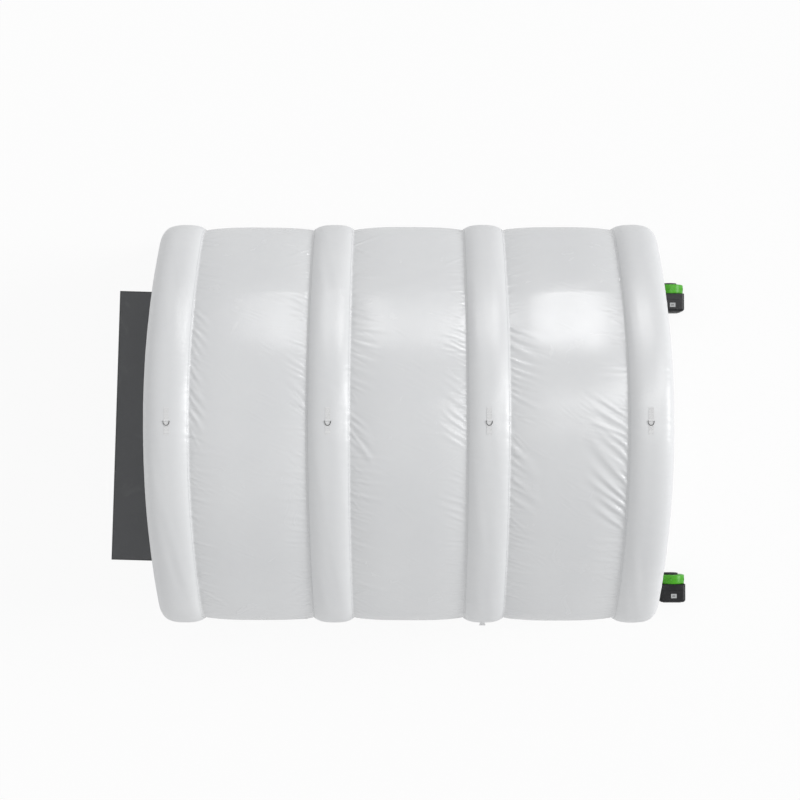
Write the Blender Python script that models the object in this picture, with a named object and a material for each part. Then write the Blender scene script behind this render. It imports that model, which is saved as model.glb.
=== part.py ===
"""Inflatable paint booth: four inflated arches on two ground tubes, fabric bays and
end walls, a zipped front curtain, exhaust filters, a floor mat, guy rings and two
centrifugal blowers. Metres, +Z up. X runs from the door (-X) to the blowers (+X),
and the origin lies on the ground in the middle of the booth.
"""
import math

import bmesh
import bpy
from mathutils import Matrix, Vector

for item in list(bpy.data.objects):
    bpy.data.objects.remove(item, do_unlink=True)

# Clearance between pieces that touch, and how far a cutter runs past thick and thin pieces
GAP = 0.0003
CUT_REACH = 0.1
SHORT_REACH = 0.02

# Booth over its inflated tubes
LENGTH = 5.0
WIDTH = 4.06
HEIGHT = 3.0

# Arch line: the roof falls by ROOF_FALL times the square of the distance from the middle
ROOF_FALL = 0.343
SHOULDER_RADIUS = 0.60
ROOF_STEPS = 11
SHOULDER_STEPS = 3
ARCH_COUNT = 4

# Arch tube section: full width, height of its outer half, width between the panel seams
TUBE_WIDTH = 0.47
TUBE_CROWN = 0.15
CROWN_POWER = 2.6
SEAM_WIDTH = 0.41
CREST_WIDTH = 0.094
SKIN = 0.003

# Ground tubes
BASE_RADIUS = 0.22
BASE_FLAT_DROP = 0.015
BASE_INSET = 0.20
BASE_DOME = 0.03
BASE_DOME_SHARE = 0.9
BASE_SIDES = 14
PORT_RADIUS = 0.07

# Bay panels and their windows
PANEL_BULGE = 0.035
PANEL_STEPS = 4
PANEL_SKIN = 0.003
WINDOW_LENGTH = 0.70
WINDOW_HEIGHT = 0.55
WINDOW_SILL = 0.78
WINDOW_CORNER = 0.08

# End walls and doorway
WALL_SKIN = 0.004
DOOR_WIDTH = 2.4
DOOR_HEIGHT = 2.12
DOOR_CORNER_ACROSS = 0.50
DOOR_CORNER_DOWN = 0.62
CURTAIN_OVERLAP = 0.05
CURTAIN_SKIN = 0.003
CURTAIN_HEM = 0.012
CURTAIN_STANDOFF = 0.006
FOLD_DEPTH = 0.030
FOLD_COUNT = 7
FOLD_STEPS = 4
CURTAIN_ROWS = 7

# Zips beside the curtain, their sliders and pull tabs
ZIP_GAP = 0.002
ZIP_TAPE = 0.036
ZIP_TAPE_SKIN = 0.0015
ZIP_BEAD_WIDTH = 0.008
ZIP_BEAD_HEIGHT = 0.005
ZIP_FOOT = 0.03
SLIDER_LENGTH = 0.032
SLIDER_WALL = 0.003
SLIDER_CLEARANCE = 0.0006
PULL_LENGTH = 0.05
PULL_WIDTH = 0.012

# Exhaust filters in pockets on the inside of the rear wall
FILTER_SIZE = 0.80
FILTER_SKIN = 0.02
FILTER_WINDOW = 0.70
FILTER_SPACING = 1.24
FILTER_HEIGHT = 0.85
FILTER_FOLDS = 12
FILTER_FOLD_DEPTH = 0.008
POCKET_RIM = 0.04
POCKET_LIP = 0.004
POCKET_SLACK = 0.003

# Floor mat
MAT_LENGTH = 5.0
MAT_WIDTH = 2.97
MAT_SKIN = 0.005
MAT_REACH = 3.235
MAT_SKEW = 1.6

# Webbing tabs and D-rings
WEB_WIDTH = 0.05
WEB_SKIN = 0.0015
CROWN_WEB_LENGTH = 0.26
SIDE_WEB_LENGTH = 0.10
SIDE_RING_DROP = 0.065
KINKED_REACH = 0.030
RING_WIRE = 0.0025
RING_SLACK = 0.0005
RING_SIDE_SLACK = 0.0015
RING_DEPTH = 0.042
RING_STEPS = 8
WIRE_SIDES = 6

# Blowers: distance of the casing axis behind the booth, and casing centre lines
BLOWER_REACH = 0.352
FRAME_BLOWER_Y = -1.68
SUPPLY_BLOWER_Y = 1.476
CASING_WIDTH = 0.10
CASING_SKIN = 0.003
SCROLL_SMALL = 0.115
SCROLL_LARGE = 0.165
SCROLL_START = 205.0
SCROLL_STEPS = 24
DUCT_HEIGHT = 0.105
DUCT_LENGTH = 0.135
COLLAR_LENGTH = 0.055
COLLAR_RADIUS = 0.05
OUTLET_PLATE = 0.004
OUTLET_RIM = 0.006
CASING_ROUNDING = 0.012
INLET_RADIUS = 0.070
GUARD_RIM = 0.010
GUARD_RISE = 0.018
GUARD_BAR = 0.004
GUARD_SPOKES = 8
STAND_PLATE = 0.0197
STAND_FOOT = 0.010
STAND_FOOT_RADIUS = 0.015
STAND_MARGIN = 0.012

# Blower wheel and motor
WHEEL_RADIUS = 0.085
WHEEL_RIM = 0.010
WHEEL_PLATE = 0.002
WHEEL_RUNNING_GAP = 0.004
BLADE_COUNT = 20
BLADE_SKIN = 0.0018
BLADE_ANGLE = 35.0
HUB_RADIUS = 0.014
HUB_LENGTH = 0.028
SHAFT_RADIUS = 0.006
SHAFT_SLACK = 0.0005
SHAFT_SHORT = 0.002
MOTOR_RADIUS = 0.050
MOTOR_LENGTH = 0.10
HOUSING_LENGTH = 0.195
HOUSING_WIDTH = 0.285
HOUSING_HEIGHT = 0.30
HOUSING_CORNER = 0.045
HOUSING_TAPER = 0.03
HOUSING_SHIFT = 0.0075
VENT_COUNT = 6
VENT_WIDTH = 0.007
VENT_PITCH = 0.020
VENT_HEIGHT = 0.10

# Switch on top of the motor housing
BEZEL_LENGTH = 0.060
BEZEL_WIDTH = 0.046
BEZEL_HEIGHT = 0.008
SWITCH_SHIFT = 0.018
SWITCH_SETBACK = 0.175
ROCKER_LENGTH = 0.026
ROCKER_WIDTH = 0.016
ROCKER_TILT = 7.0
ROCKER_SLACK = 0.001

# Fabric sleeves between the blowers and the booth, and their straps
SLEEVE_SKIN = 0.002
SLEEVE_FLARE = 0.078
SLEEVE_SIDES = 16
SLEEVE_STEPS = 4
INLET_HEIGHT = 0.150
SUPPLY_PORT_Y = 1.46
FRAME_PORT_Y = -1.765
STRAP_WIDTH = 0.022
STRAP_SKIN = 0.002
BUCKLE = 0.020

# Worked out from the sizes above
END_ARCH_X = (LENGTH - TUBE_WIDTH) / 2
LEG_Y = WIDTH / 2 - TUBE_CROWN
CROWN_Z = HEIGHT - TUBE_CROWN
BASE_Y = WIDTH / 2 - BASE_INSET
BASE_Z = BASE_RADIUS - BASE_FLAT_DROP
SIDES = (("right", -1), ("left", 1))
ARCH_NAMES = ("arch_front", "arch_mid_front", "arch_mid_rear", "arch_rear")
BAY_NAMES = ("front", "middle", "rear")


def arch_x(index):
    """Centre of an arch along the booth, counted from the front."""
    return -END_ARCH_X + 2 * END_ARCH_X * index / (ARCH_COUNT - 1)


def shoulder_start():
    """Half width at which the roof line hands over to the shoulder bend."""
    low, high = 0.0, LEG_Y
    for _ in range(60):
        y = (low + high) / 2
        slope = math.atan(2 * ROOF_FALL * y)
        if y + SHOULDER_RADIUS * (1 - math.sin(slope)) < LEG_Y:
            low = y
        else:
            high = y
    return low


SHOULDER_Y = shoulder_start()
SHOULDER_SLOPE = math.atan(2 * ROOF_FALL * SHOULDER_Y)
SHOULDER_Z = CROWN_Z - ROOF_FALL * SHOULDER_Y ** 2
LEG_TOP = SHOULDER_Z - SHOULDER_RADIUS * math.cos(SHOULDER_SLOPE)


def arch_line():
    """Stations (y, z, normal y, normal z) of the arch line, right foot to left foot."""
    half = [(LEG_Y, BASE_Z, 1.0, 0.0)]
    centre_y = SHOULDER_Y - SHOULDER_RADIUS * math.sin(SHOULDER_SLOPE)
    centre_z = SHOULDER_Z - SHOULDER_RADIUS * math.cos(SHOULDER_SLOPE)
    for step in range(SHOULDER_STEPS):
        turn = math.pi / 2 + (SHOULDER_SLOPE - math.pi / 2) * step / SHOULDER_STEPS
        out_y, out_z = math.sin(turn), math.cos(turn)
        half.append((centre_y + SHOULDER_RADIUS * out_y, centre_z + SHOULDER_RADIUS * out_z, out_y, out_z))
    roof = []
    for step in range(ROOF_STEPS + 1):
        y = SHOULDER_Y * (2 * step / ROOF_STEPS - 1)
        turn = math.atan(2 * ROOF_FALL * y)
        roof.append((y, CROWN_Z - ROOF_FALL * y * y, math.sin(turn), math.cos(turn)))
    right = [(-y, z, -out_y, out_z) for y, z, out_y, out_z in half]
    return right + roof + half[::-1]


def crown_rise(x):
    """Height of the tube's outer half above its widest line, x from the tube's middle."""
    share = min(1.0, abs(2 * x / TUBE_WIDTH))
    return TUBE_CROWN * (1 - share ** CROWN_POWER) ** (1 / CROWN_POWER)


def tube_section():
    """Closed outline (x, w) of the arch tube, w away from the cabin."""
    half = TUBE_WIDTH / 2
    edge = SEAM_WIDTH / 2
    crest = CREST_WIDTH / 2
    across = (half, edge, (edge + crest) / 2 + 0.1 * crest, crest)
    outer = [(x, crown_rise(x)) for x in across]
    outline = outer + [(-x, w) for x, w in outer[::-1]]
    for step in range(1, 5):
        turn = math.pi * (1 + step / 5)
        outline.append((half * math.cos(turn), half * math.sin(turn)))
    return outline


def offset_outline(points, distance):
    """Closed outline moved outwards by a distance, corners mitred; points run anticlockwise."""
    moved = []
    count = len(points)
    for index in range(count):
        before = Vector(points[index - 1])
        here = Vector(points[index])
        after = Vector(points[(index + 1) % count])
        one = (here - before).normalized()
        two = (after - here).normalized()
        normal_one = Vector((one.y, -one.x))
        normal_two = Vector((two.y, -two.x))
        mitre = (normal_one + normal_two) / (1 + normal_one.dot(normal_two))
        moved.append(tuple(here + mitre * distance))
    return moved


def circle(radius, sides, centre=(0.0, 0.0), start=0.0):
    """Regular outline, anticlockwise."""
    return [(centre[0] + radius * math.cos(start + 2 * math.pi * k / sides),
             centre[1] + radius * math.sin(start + 2 * math.pi * k / sides)) for k in range(sides)]


def rounded_rectangle(width, height, radius, centre=(0.0, 0.0), steps=3):
    """Rectangle with round corners, anticlockwise."""
    points = []
    for corner in range(4):
        sign_x = 1 if corner in (0, 3) else -1
        sign_y = 1 if corner in (0, 1) else -1
        for step in range(steps + 1):
            turn = math.pi / 2 * (corner + step / steps)
            points.append((centre[0] + sign_x * (width / 2 - radius) + radius * math.cos(turn),
                           centre[1] + sign_y * (height / 2 - radius) + radius * math.sin(turn)))
    return points


def loft(rings, closed=False):
    """Skin over rings of points; the two ends are filled unless the rings close on themselves."""
    bm = bmesh.new()
    loops = [[bm.verts.new(point) for point in ring] for ring in rings]
    spans = list(zip(loops, loops[1:]))
    if closed:
        spans.append((loops[-1], loops[0]))
    for one, two in spans:
        count = len(one)
        for k in range(count):
            bm.faces.new((one[k], one[(k + 1) % count], two[(k + 1) % count], two[k]))
    if not closed:
        bm.faces.new(loops[0][::-1])
        bm.faces.new(loops[-1])
    bmesh.ops.recalc_face_normals(bm, faces=bm.faces)
    return bm


def tube_shell(outer_rings, inner_rings):
    """Open-ended tube with a wall between two sets of rings."""
    bm = bmesh.new()
    outer = [[bm.verts.new(point) for point in ring] for ring in outer_rings]
    inner = [[bm.verts.new(point) for point in ring] for ring in inner_rings]
    count = len(outer[0])
    for loops in (outer, inner):
        for one, two in zip(loops, loops[1:]):
            for k in range(count):
                bm.faces.new((one[k], one[(k + 1) % count], two[(k + 1) % count], two[k]))
    for one, two in ((outer[0], inner[0]), (outer[-1], inner[-1])):
        for k in range(count):
            bm.faces.new((one[k], one[(k + 1) % count], two[(k + 1) % count], two[k]))
    bmesh.ops.recalc_face_normals(bm, faces=bm.faces)
    return bm


def prism(outline, axis, low, high):
    """Outline pushed along an axis: X takes (y, z), Y takes (x, z) and Z takes (x, y)."""
    order = {"X": (0, 1, 2), "Y": (1, 0, 2), "Z": (1, 2, 0)}[axis]

    def place(s, a, b):
        return tuple((s, a, b)[k] for k in order)
    return loft([[place(low, a, b) for a, b in outline], [place(high, a, b) for a, b in outline]])


def box(low, high):
    """Axis-aligned block between two corners."""
    outline = [(low[0], low[1]), (high[0], low[1]), (high[0], high[1]), (low[0], high[1])]
    return prism(outline, "Z", low[2], high[2])


def material(name, colour, roughness, metallic=0.0, alpha=1.0):
    """Principled material, made once."""
    made = bpy.data.materials.get(name)
    if made is None:
        made = bpy.data.materials.new(name)
        made.use_nodes = True
        shader = made.node_tree.nodes["Principled BSDF"]
        shader.inputs["Base Color"].default_value = (*colour, 1.0)
        shader.inputs["Roughness"].default_value = roughness
        shader.inputs["Metallic"].default_value = metallic
        shader.inputs["Alpha"].default_value = alpha
        made.diffuse_color = (*colour, alpha)
    return made


def add_object(name, bm, surface, origin=(0.0, 0.0, 0.0), smooth=True):
    """Mesh object whose origin is the given point; the mesh comes in booth coordinates."""
    bmesh.ops.translate(bm, verts=bm.verts, vec=-Vector(origin))
    mesh = bpy.data.meshes.new(name)
    bm.to_mesh(mesh)
    bm.free()
    mesh.materials.append(surface)
    if smooth:
        mesh.shade_smooth()
        mesh.set_sharp_from_angle(angle=math.radians(40))
    made = bpy.data.objects.new(name, mesh)
    made.location = origin
    bpy.context.collection.objects.link(made)
    return made


def add_cutter(name, bm):
    """Helper body for a Boolean, never part of the booth itself."""
    made = add_object(name, bm, material("cutter", (0.5, 0.5, 0.5), 0.5), smooth=False)
    made.hide_render = True
    made.display_type = "WIRE"
    return made


def apply_tool(target, tool, operation="DIFFERENCE"):
    """Live Boolean of one object with a helper body."""
    modifier = target.modifiers.new(tool.name, "BOOLEAN")
    modifier.operation = operation
    modifier.solver = "EXACT"
    modifier.object = tool


PEARL = material("pearl_fabric", (0.78, 0.79, 0.80), 0.45)
WALL_CLOTH = material("wall_fabric", (0.74, 0.75, 0.76), 0.55)
CLEAR = material("clear_window", (0.75, 0.82, 0.85), 0.10, alpha=0.35)
MAT_CLOTH = material("mat_fabric", (0.095, 0.097, 0.10), 0.75)
WEBBING = material("pale_webbing", (0.62, 0.63, 0.63), 0.70)
STEEL = material("black_steel", (0.03, 0.03, 0.03), 0.35, 1.0)
GREEN = material("green_casing", (0.08, 0.46, 0.016), 0.35)
BLACK = material("black_plastic", (0.022, 0.022, 0.024), 0.45)
GREY = material("grey_plastic", (0.42, 0.43, 0.43), 0.50)
ZIP = material("zip_nylon", (0.05, 0.05, 0.055), 0.50)
ZINC = material("zinc", (0.55, 0.55, 0.56), 0.30, 1.0)
MEDIA = material("filter_media", (0.70, 0.72, 0.70), 0.90)
POCKET = material("pocket_fabric", (0.55, 0.56, 0.57), 0.65)
MOTOR = material("motor_steel", (0.35, 0.36, 0.37), 0.35, 1.0)

LINE = arch_line()
SECTION = tube_section()
TUBE_LOW = min(w for _, w in SECTION)


def base_section(side):
    """Outline (y, z) of a ground tube, round with a flat underside."""
    flat = math.asin(BASE_Z / BASE_RADIUS)
    points = []
    for step in range(BASE_SIDES):
        turn = -flat + (math.pi + 2 * flat) * step / (BASE_SIDES - 1)
        points.append((side * BASE_Y + BASE_RADIUS * math.cos(turn), BASE_Z + BASE_RADIUS * math.sin(turn)))
    return points


def shrink(points, share, centre):
    """Outline scaled about a centre."""
    return [(centre[0] + share * (a - centre[0]), centre[1] + share * (b - centre[1])) for a, b in points]


def base_cutters():
    """Ground tubes grown by the clearance, which seat the arches, panels and walls on them."""
    cutters = []
    for side_name, side in SIDES:
        outline = offset_outline(base_section(side), GAP)
        reach = LENGTH / 2 + 2 * BASE_DOME
        cutters.append(add_cutter(f"cut_base_{side_name}", prism(outline, "X", -reach, reach)))
    return cutters


def base_body(outline, reach, dome, centre):
    """Ground tube solid with slightly domed ends."""
    small = shrink(outline, BASE_DOME_SHARE, centre)
    rings = ((-reach - dome, small), (-reach, outline), (reach, outline), (reach + dome, small))
    return loft([[(x, y, z) for y, z in points] for x, points in rings])


def make_base_tubes():
    """Two hollow ground tubes with a port under each arch leg; the right one takes the inlet."""
    ports = []
    for index in range(ARCH_COUNT):
        for side_name, side in SIDES:
            outline = circle(PORT_RADIUS, 12, (arch_x(index), side * BASE_Y))
            name = f"cut_port_{index}_{side_name}"
            ports.append((side, add_cutter(name, prism(outline, "Z", BASE_Z, BASE_Z + 2 * BASE_RADIUS))))
    for side_name, side in SIDES:
        centre = (side * BASE_Y, BASE_Z)
        outline = base_section(side)
        body = base_body(outline, LENGTH / 2, BASE_DOME, centre)
        tube = add_object(f"base_tube_{side_name}", body, PEARL)
        hollow = base_body(offset_outline(outline, -SKIN), LENGTH / 2 - SKIN, BASE_DOME, centre)
        apply_tool(tube, add_cutter(f"cut_hollow_{side_name}", hollow))
        for port_side, port in ports:
            if port_side == side:
                apply_tool(tube, port)
        if side < 0:
            inlet = prism(circle(SLEEVE_FLARE - SLEEVE_SKIN, SLEEVE_SIDES, (FRAME_PORT_Y, INLET_HEIGHT)),
                          "X", LENGTH / 2 - BASE_DOME, LENGTH / 2 + 2 * BASE_DOME)
            apply_tool(tube, add_cutter("cut_frame_inlet", inlet))


def arch_rings(outline, x_centre):
    """The section carried along the arch line."""
    return [[(x_centre + x, y + w * out_y, z + w * out_z) for x, w in outline] for y, z, out_y, out_z in LINE]


def make_arches(cutters):
    """Four hollow arches whose open feet sit on the ground tubes."""
    inner = offset_outline(SECTION[::-1], SKIN)[::-1]
    for index, name in enumerate(ARCH_NAMES):
        x = arch_x(index)
        arch = add_object(name, tube_shell(arch_rings(SECTION, x), arch_rings(inner, x)), PEARL)
        for cutter in cutters:
            apply_tool(arch, cutter)


def panel_outline(bay):
    """Section (x, w) of a bay panel between two seams, bulging away from the cabin."""
    edge_w = crown_rise(SEAM_WIDTH / 2)
    lean = (TUBE_WIDTH - SEAM_WIDTH) / 2 * PANEL_SKIN / edge_w
    outer, under = [], []
    for step in range(PANEL_STEPS + 1):
        share = step / PANEL_STEPS
        bulge = PANEL_BULGE * 4 * share * (1 - share)
        left = arch_x(bay) + SEAM_WIDTH / 2 + GAP
        right = arch_x(bay + 1) - SEAM_WIDTH / 2 - GAP
        outer.append((left + (right - left) * share, edge_w + bulge))
        under.append((left + lean + (right - left - 2 * lean) * share, edge_w + bulge - PANEL_SKIN))
    return outer + under[::-1]


def make_panels(cutters):
    """Three fabric bays from ground tube to ground tube; the middle one has clear side windows."""
    for bay, bay_name in enumerate(BAY_NAMES):
        rings = arch_rings(panel_outline(bay), 0.0)
        panel = add_object(f"bay_panel_{bay_name}", loft(rings), PEARL)
        for cutter in cutters:
            apply_tool(panel, cutter)
        if bay_name != "middle":
            continue
        for side_name, side in SIDES:
            centre = (0.0, WINDOW_SILL + WINDOW_HEIGHT / 2)
            hole = rounded_rectangle(WINDOW_LENGTH, WINDOW_HEIGHT, WINDOW_CORNER, centre)
            span = sorted((side * (LEG_Y - TUBE_CROWN), side * (LEG_Y + 2 * TUBE_CROWN)))
            apply_tool(panel, add_cutter(f"cut_window_{side_name}", prism(hole, "Y", *span)))
            pane = add_object(f"window_{side_name}", loft(rings), CLEAR)
            inside = offset_outline(hole, -GAP)
            keep = add_cutter(f"keep_window_{side_name}", prism(inside, "Y", *span))
            apply_tool(pane, keep, "INTERSECT")


def door_outline(grow=0.0):
    """Doorway outline (y, z): straight sides, rounded upper corners and a straight head."""
    half = DOOR_WIDTH / 2
    flat = half - DOOR_CORNER_ACROSS
    spring = DOOR_HEIGHT - DOOR_CORNER_DOWN
    points = [(half + grow, -CUT_REACH)]
    for step in range(7):
        turn = math.pi / 2 * step / 6
        points.append((flat + (DOOR_CORNER_ACROSS + grow) * math.cos(turn),
                       spring + (DOOR_CORNER_DOWN + grow) * math.sin(turn)))
    return points + [(-y, z) for y, z in points[::-1]]


def wall_body(x_centre):
    """Flat end wall that fills an arch from seam to floor."""
    reach = TUBE_LOW - GAP
    outline = [(y + reach * out_y, z + reach * out_z) for y, z, out_y, out_z in LINE]
    hem = MAT_SKIN + GAP
    outline[0] = (outline[0][0], hem)
    outline[-1] = (outline[-1][0], hem)
    return prism(outline, "X", x_centre - WALL_SKIN / 2, x_centre + WALL_SKIN / 2)


def make_front_wall(cutters):
    """Front wall with its doorway."""
    wall = add_object("front_wall", wall_body(-END_ARCH_X), WALL_CLOTH)
    for cutter in cutters:
        apply_tool(wall, cutter)
    door = prism(door_outline(), "X", -END_ARCH_X - CUT_REACH, -END_ARCH_X + CUT_REACH)
    apply_tool(wall, add_cutter("cut_doorway", door))


def filter_y(side):
    return side * FILTER_SPACING / 2


def make_rear_wall(cutters):
    """Rear wall with two exhaust windows and the round supply port."""
    wall = add_object("rear_wall", wall_body(END_ARCH_X), WALL_CLOTH)
    for cutter in cutters:
        apply_tool(wall, cutter)
    span = (END_ARCH_X - CUT_REACH, END_ARCH_X + CUT_REACH)
    for side_name, side in SIDES:
        middle = (filter_y(side), FILTER_HEIGHT)
        window = rounded_rectangle(FILTER_WINDOW, FILTER_WINDOW, WINDOW_CORNER, middle)
        apply_tool(wall, add_cutter(f"cut_exhaust_{side_name}", prism(window, "X", *span)))
    port = circle(SLEEVE_FLARE - SLEEVE_SKIN, SLEEVE_SIDES, (SUPPLY_PORT_Y, INLET_HEIGHT))
    apply_tool(wall, add_cutter("cut_supply_port", prism(port, "X", *span)))


def make_filters():
    """Pleated filter pads standing in open-topped pockets on the cabin side of the rear wall."""
    face = END_ARCH_X - WALL_SKIN / 2 - GAP
    depth = FILTER_SKIN + 2 * GAP
    half = FILTER_SIZE / 2
    for side_name, side in SIDES:
        middle = filter_y(side)
        floor = FILTER_HEIGHT - half
        slot = half + POCKET_SLACK
        low = (face - depth - POCKET_LIP, middle - slot - POCKET_RIM, floor - GAP - POCKET_RIM)
        high = (face, middle + slot + POCKET_RIM, FILTER_HEIGHT + half)
        pocket = add_object(f"filter_pocket_{side_name}", box(low, high), POCKET, smooth=False)
        room = box((face - depth, middle - slot, floor - GAP),
                   (face + CUT_REACH, middle + slot, high[2] + CUT_REACH))
        apply_tool(pocket, add_cutter(f"cut_pocket_room_{side_name}", room))
        view = rounded_rectangle(FILTER_WINDOW, FILTER_WINDOW, WINDOW_CORNER, (middle, FILTER_HEIGHT))
        apply_tool(pocket, add_cutter(f"cut_pocket_view_{side_name}", prism(view, "X", low[0] - CUT_REACH,
                                                                            face + CUT_REACH)))
        outline = []
        count = 2 * FILTER_FOLDS
        for step in range(count + 1):
            y = middle - half + FILTER_SIZE * step / count
            outline.append((face - GAP - (FILTER_FOLD_DEPTH if step % 2 else 0.0), y))
        for step in range(count, -1, -1):
            y = middle - half + FILTER_SIZE * step / count
            outline.append((face - GAP - FILTER_SKIN + (0.0 if step % 2 else FILTER_FOLD_DEPTH), y))
        pad = prism(outline, "Z", floor, FILTER_HEIGHT + half)
        foot = (face - FILTER_SKIN / 2, middle, floor)
        add_object(f"filter_pad_{side_name}", pad, MEDIA, foot, smooth=False)


def curtain_head(y):
    """Height of the curtain's upper edge across the doorway."""
    flat = DOOR_WIDTH / 2 - DOOR_CORNER_ACROSS
    reach = DOOR_CORNER_ACROSS + CURTAIN_OVERLAP
    share = min(1.0, max(0.0, abs(y) - flat) / reach)
    rise = (DOOR_CORNER_DOWN + CURTAIN_OVERLAP) * math.sqrt(1 - share * share)
    return DOOR_HEIGHT - DOOR_CORNER_DOWN + rise


def make_curtain():
    """Door curtain on the outside of the front wall, hanging in upright folds."""
    half = DOOR_WIDTH / 2 + CURTAIN_OVERLAP
    face = -END_ARCH_X - WALL_SKIN / 2 - GAP
    columns = FOLD_COUNT * FOLD_STEPS
    bm = bmesh.new()
    grids = []
    for skin in (0.0, CURTAIN_SKIN):
        grid = []
        for row in range(CURTAIN_ROWS + 1):
            share = row / CURTAIN_ROWS
            loose = math.sin(math.pi / 2 * share)
            line = []
            for column in range(columns + 1):
                across = column / columns
                y = -half + 2 * half * across
                fold = FOLD_DEPTH * (1 - math.cos(2 * math.pi * FOLD_COUNT * across)) / 2
                stand = CURTAIN_STANDOFF * min(1.0, row) + fold * loose
                head = curtain_head(y)
                z = head + (CURTAIN_HEM - head) * share
                line.append(bm.verts.new((face - stand - skin, y, z)))
            grid.append(line)
        grids.append(grid)
    back, front = grids
    for grid in grids:
        for row in range(CURTAIN_ROWS):
            for column in range(columns):
                bm.faces.new((grid[row][column], grid[row][column + 1],
                              grid[row + 1][column + 1], grid[row + 1][column]))
    rim_back = (back[0] + [line[-1] for line in back[1:]] + back[-1][-2::-1]
                + [line[0] for line in back[-2:0:-1]])
    rim_front = (front[0] + [line[-1] for line in front[1:]] + front[-1][-2::-1]
                 + [line[0] for line in front[-2:0:-1]])
    count = len(rim_back)
    for k in range(count):
        bm.faces.new((rim_back[k], rim_back[(k + 1) % count], rim_front[(k + 1) % count], rim_front[k]))
    bmesh.ops.recalc_face_normals(bm, faces=bm.faces)
    add_object("door_curtain", bm, WALL_CLOTH, (face, 0.0, DOOR_HEIGHT + CURTAIN_OVERLAP))


def make_zips():
    """Upright zips beside the curtain, each with a slider that carries a pull tab."""
    face = -END_ARCH_X - WALL_SKIN / 2 - GAP
    head = DOOR_HEIGHT - DOOR_CORNER_DOWN
    bead = ZIP_BEAD_WIDTH / 2
    for side_name, side in SIDES:
        start = DOOR_WIDTH / 2 + CURTAIN_OVERLAP + ZIP_GAP
        middle = start + ZIP_TAPE / 2
        top = face - ZIP_TAPE_SKIN
        crest = top - ZIP_BEAD_HEIGHT
        outline = [(face, start), (face, start + ZIP_TAPE), (top, start + ZIP_TAPE), (top, middle + bead),
                   (crest, middle + bead), (crest, middle - bead), (top, middle - bead), (top, start)]
        outline = [(x, side * y) for x, y in outline]
        add_object(f"zip_{side_name}", prism(outline, "Z", ZIP_FOOT, head), ZIP, smooth=False)
        reach = bead + SLIDER_CLEARANCE
        near = top - SLIDER_CLEARANCE
        inner = crest - SLIDER_CLEARANCE
        far = inner - SLIDER_WALL
        outline = [(near, reach), (near, reach + SLIDER_WALL), (far, reach + SLIDER_WALL),
                   (far, -reach - SLIDER_WALL), (near, -reach - SLIDER_WALL), (near, -reach),
                   (inner, -reach), (inner, reach)]
        outline = [(x, side * (middle + y)) for x, y in outline]
        low = ZIP_FOOT + GAP
        slider = add_object(f"zip_slider_{side_name}", prism(outline, "Z", low, low + SLIDER_LENGTH), ZINC,
                            (far, side * middle, low), smooth=False)
        hook = low + SLIDER_LENGTH / 3
        pull = box((far - SLIDER_WALL, side * middle - PULL_WIDTH / 2, hook),
                   (far + SLIDER_WALL / 2, side * middle + PULL_WIDTH / 2, hook + PULL_LENGTH))
        apply_tool(slider, add_cutter(f"join_pull_{side_name}", pull), "UNION")


def make_mat():
    """Floor mat, laid a little askew; its end outside the door is centred on the booth."""
    bm = box((-MAT_LENGTH / 2, -MAT_WIDTH / 2, 0.0), (MAT_LENGTH / 2, MAT_WIDTH / 2, MAT_SKIN))
    mat = add_object("floor_mat", bm, MAT_CLOTH, smooth=False)
    skew = math.radians(MAT_SKEW)
    mat.location = (MAT_LENGTH / 2 - MAT_REACH, -MAT_LENGTH / 2 * math.sin(skew), 0.0)
    mat.rotation_euler.z = -skew


def loop_height(reach):
    return WEB_SKIN + RING_SLACK + RING_WIRE + reach


def tab_body(length, reach):
    """Webbing strip with a loop for a ring: along Y, standing on the plane z = 0."""
    centre = loop_height(reach)
    round_off = WEB_SKIN + RING_SLACK + RING_WIRE
    neck = WEB_SKIN if reach > 0 else math.sqrt(round_off ** 2 - (round_off - WEB_SKIN) ** 2)
    start = math.asin(neck / round_off)
    outline = [(-length / 2, 0.0), (length / 2, 0.0), (length / 2, WEB_SKIN)]
    if reach > 0:
        outline.append((neck, WEB_SKIN))
    for step in range(9):
        turn = -math.pi / 2 + start + (2 * math.pi - 2 * start) * step / 8
        outline.append((round_off * math.cos(turn), centre + round_off * math.sin(turn)))
    if reach > 0:
        outline.append((-neck, WEB_SKIN))
    outline.append((-length / 2, WEB_SKIN))
    return prism(outline, "X", -WEB_WIDTH / 2, WEB_WIDTH / 2)


def ring_body(reach):
    """D-ring lying along +Y from its straight bar."""
    half = WEB_WIDTH / 2 + RING_SIDE_SLACK + RING_WIRE
    track = []
    for step in range(RING_STEPS + 1):
        turn = math.pi * step / RING_STEPS
        track.append(Vector((half * math.cos(turn), RING_DEPTH * math.sin(turn), loop_height(reach))))
    rings = []
    count = len(track)
    for index in range(count):
        one = (track[index] - track[index - 1]).normalized()
        two = (track[(index + 1) % count] - track[index]).normalized()
        out = Vector((one.y + two.y, -one.x - two.x, 0.0)).normalized()
        stretch = RING_WIRE / max(0.5, out.dot(Vector((one.y, -one.x, 0.0))))
        ring = []
        for k in range(WIRE_SIDES):
            turn = 2 * math.pi * (k + 0.5) / WIRE_SIDES
            rise = Vector((0, 0, RING_WIRE * math.sin(turn)))
            ring.append(track[index] + out * stretch * math.cos(turn) + rise)
        rings.append(ring)
    return loft(rings, closed=True)


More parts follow.
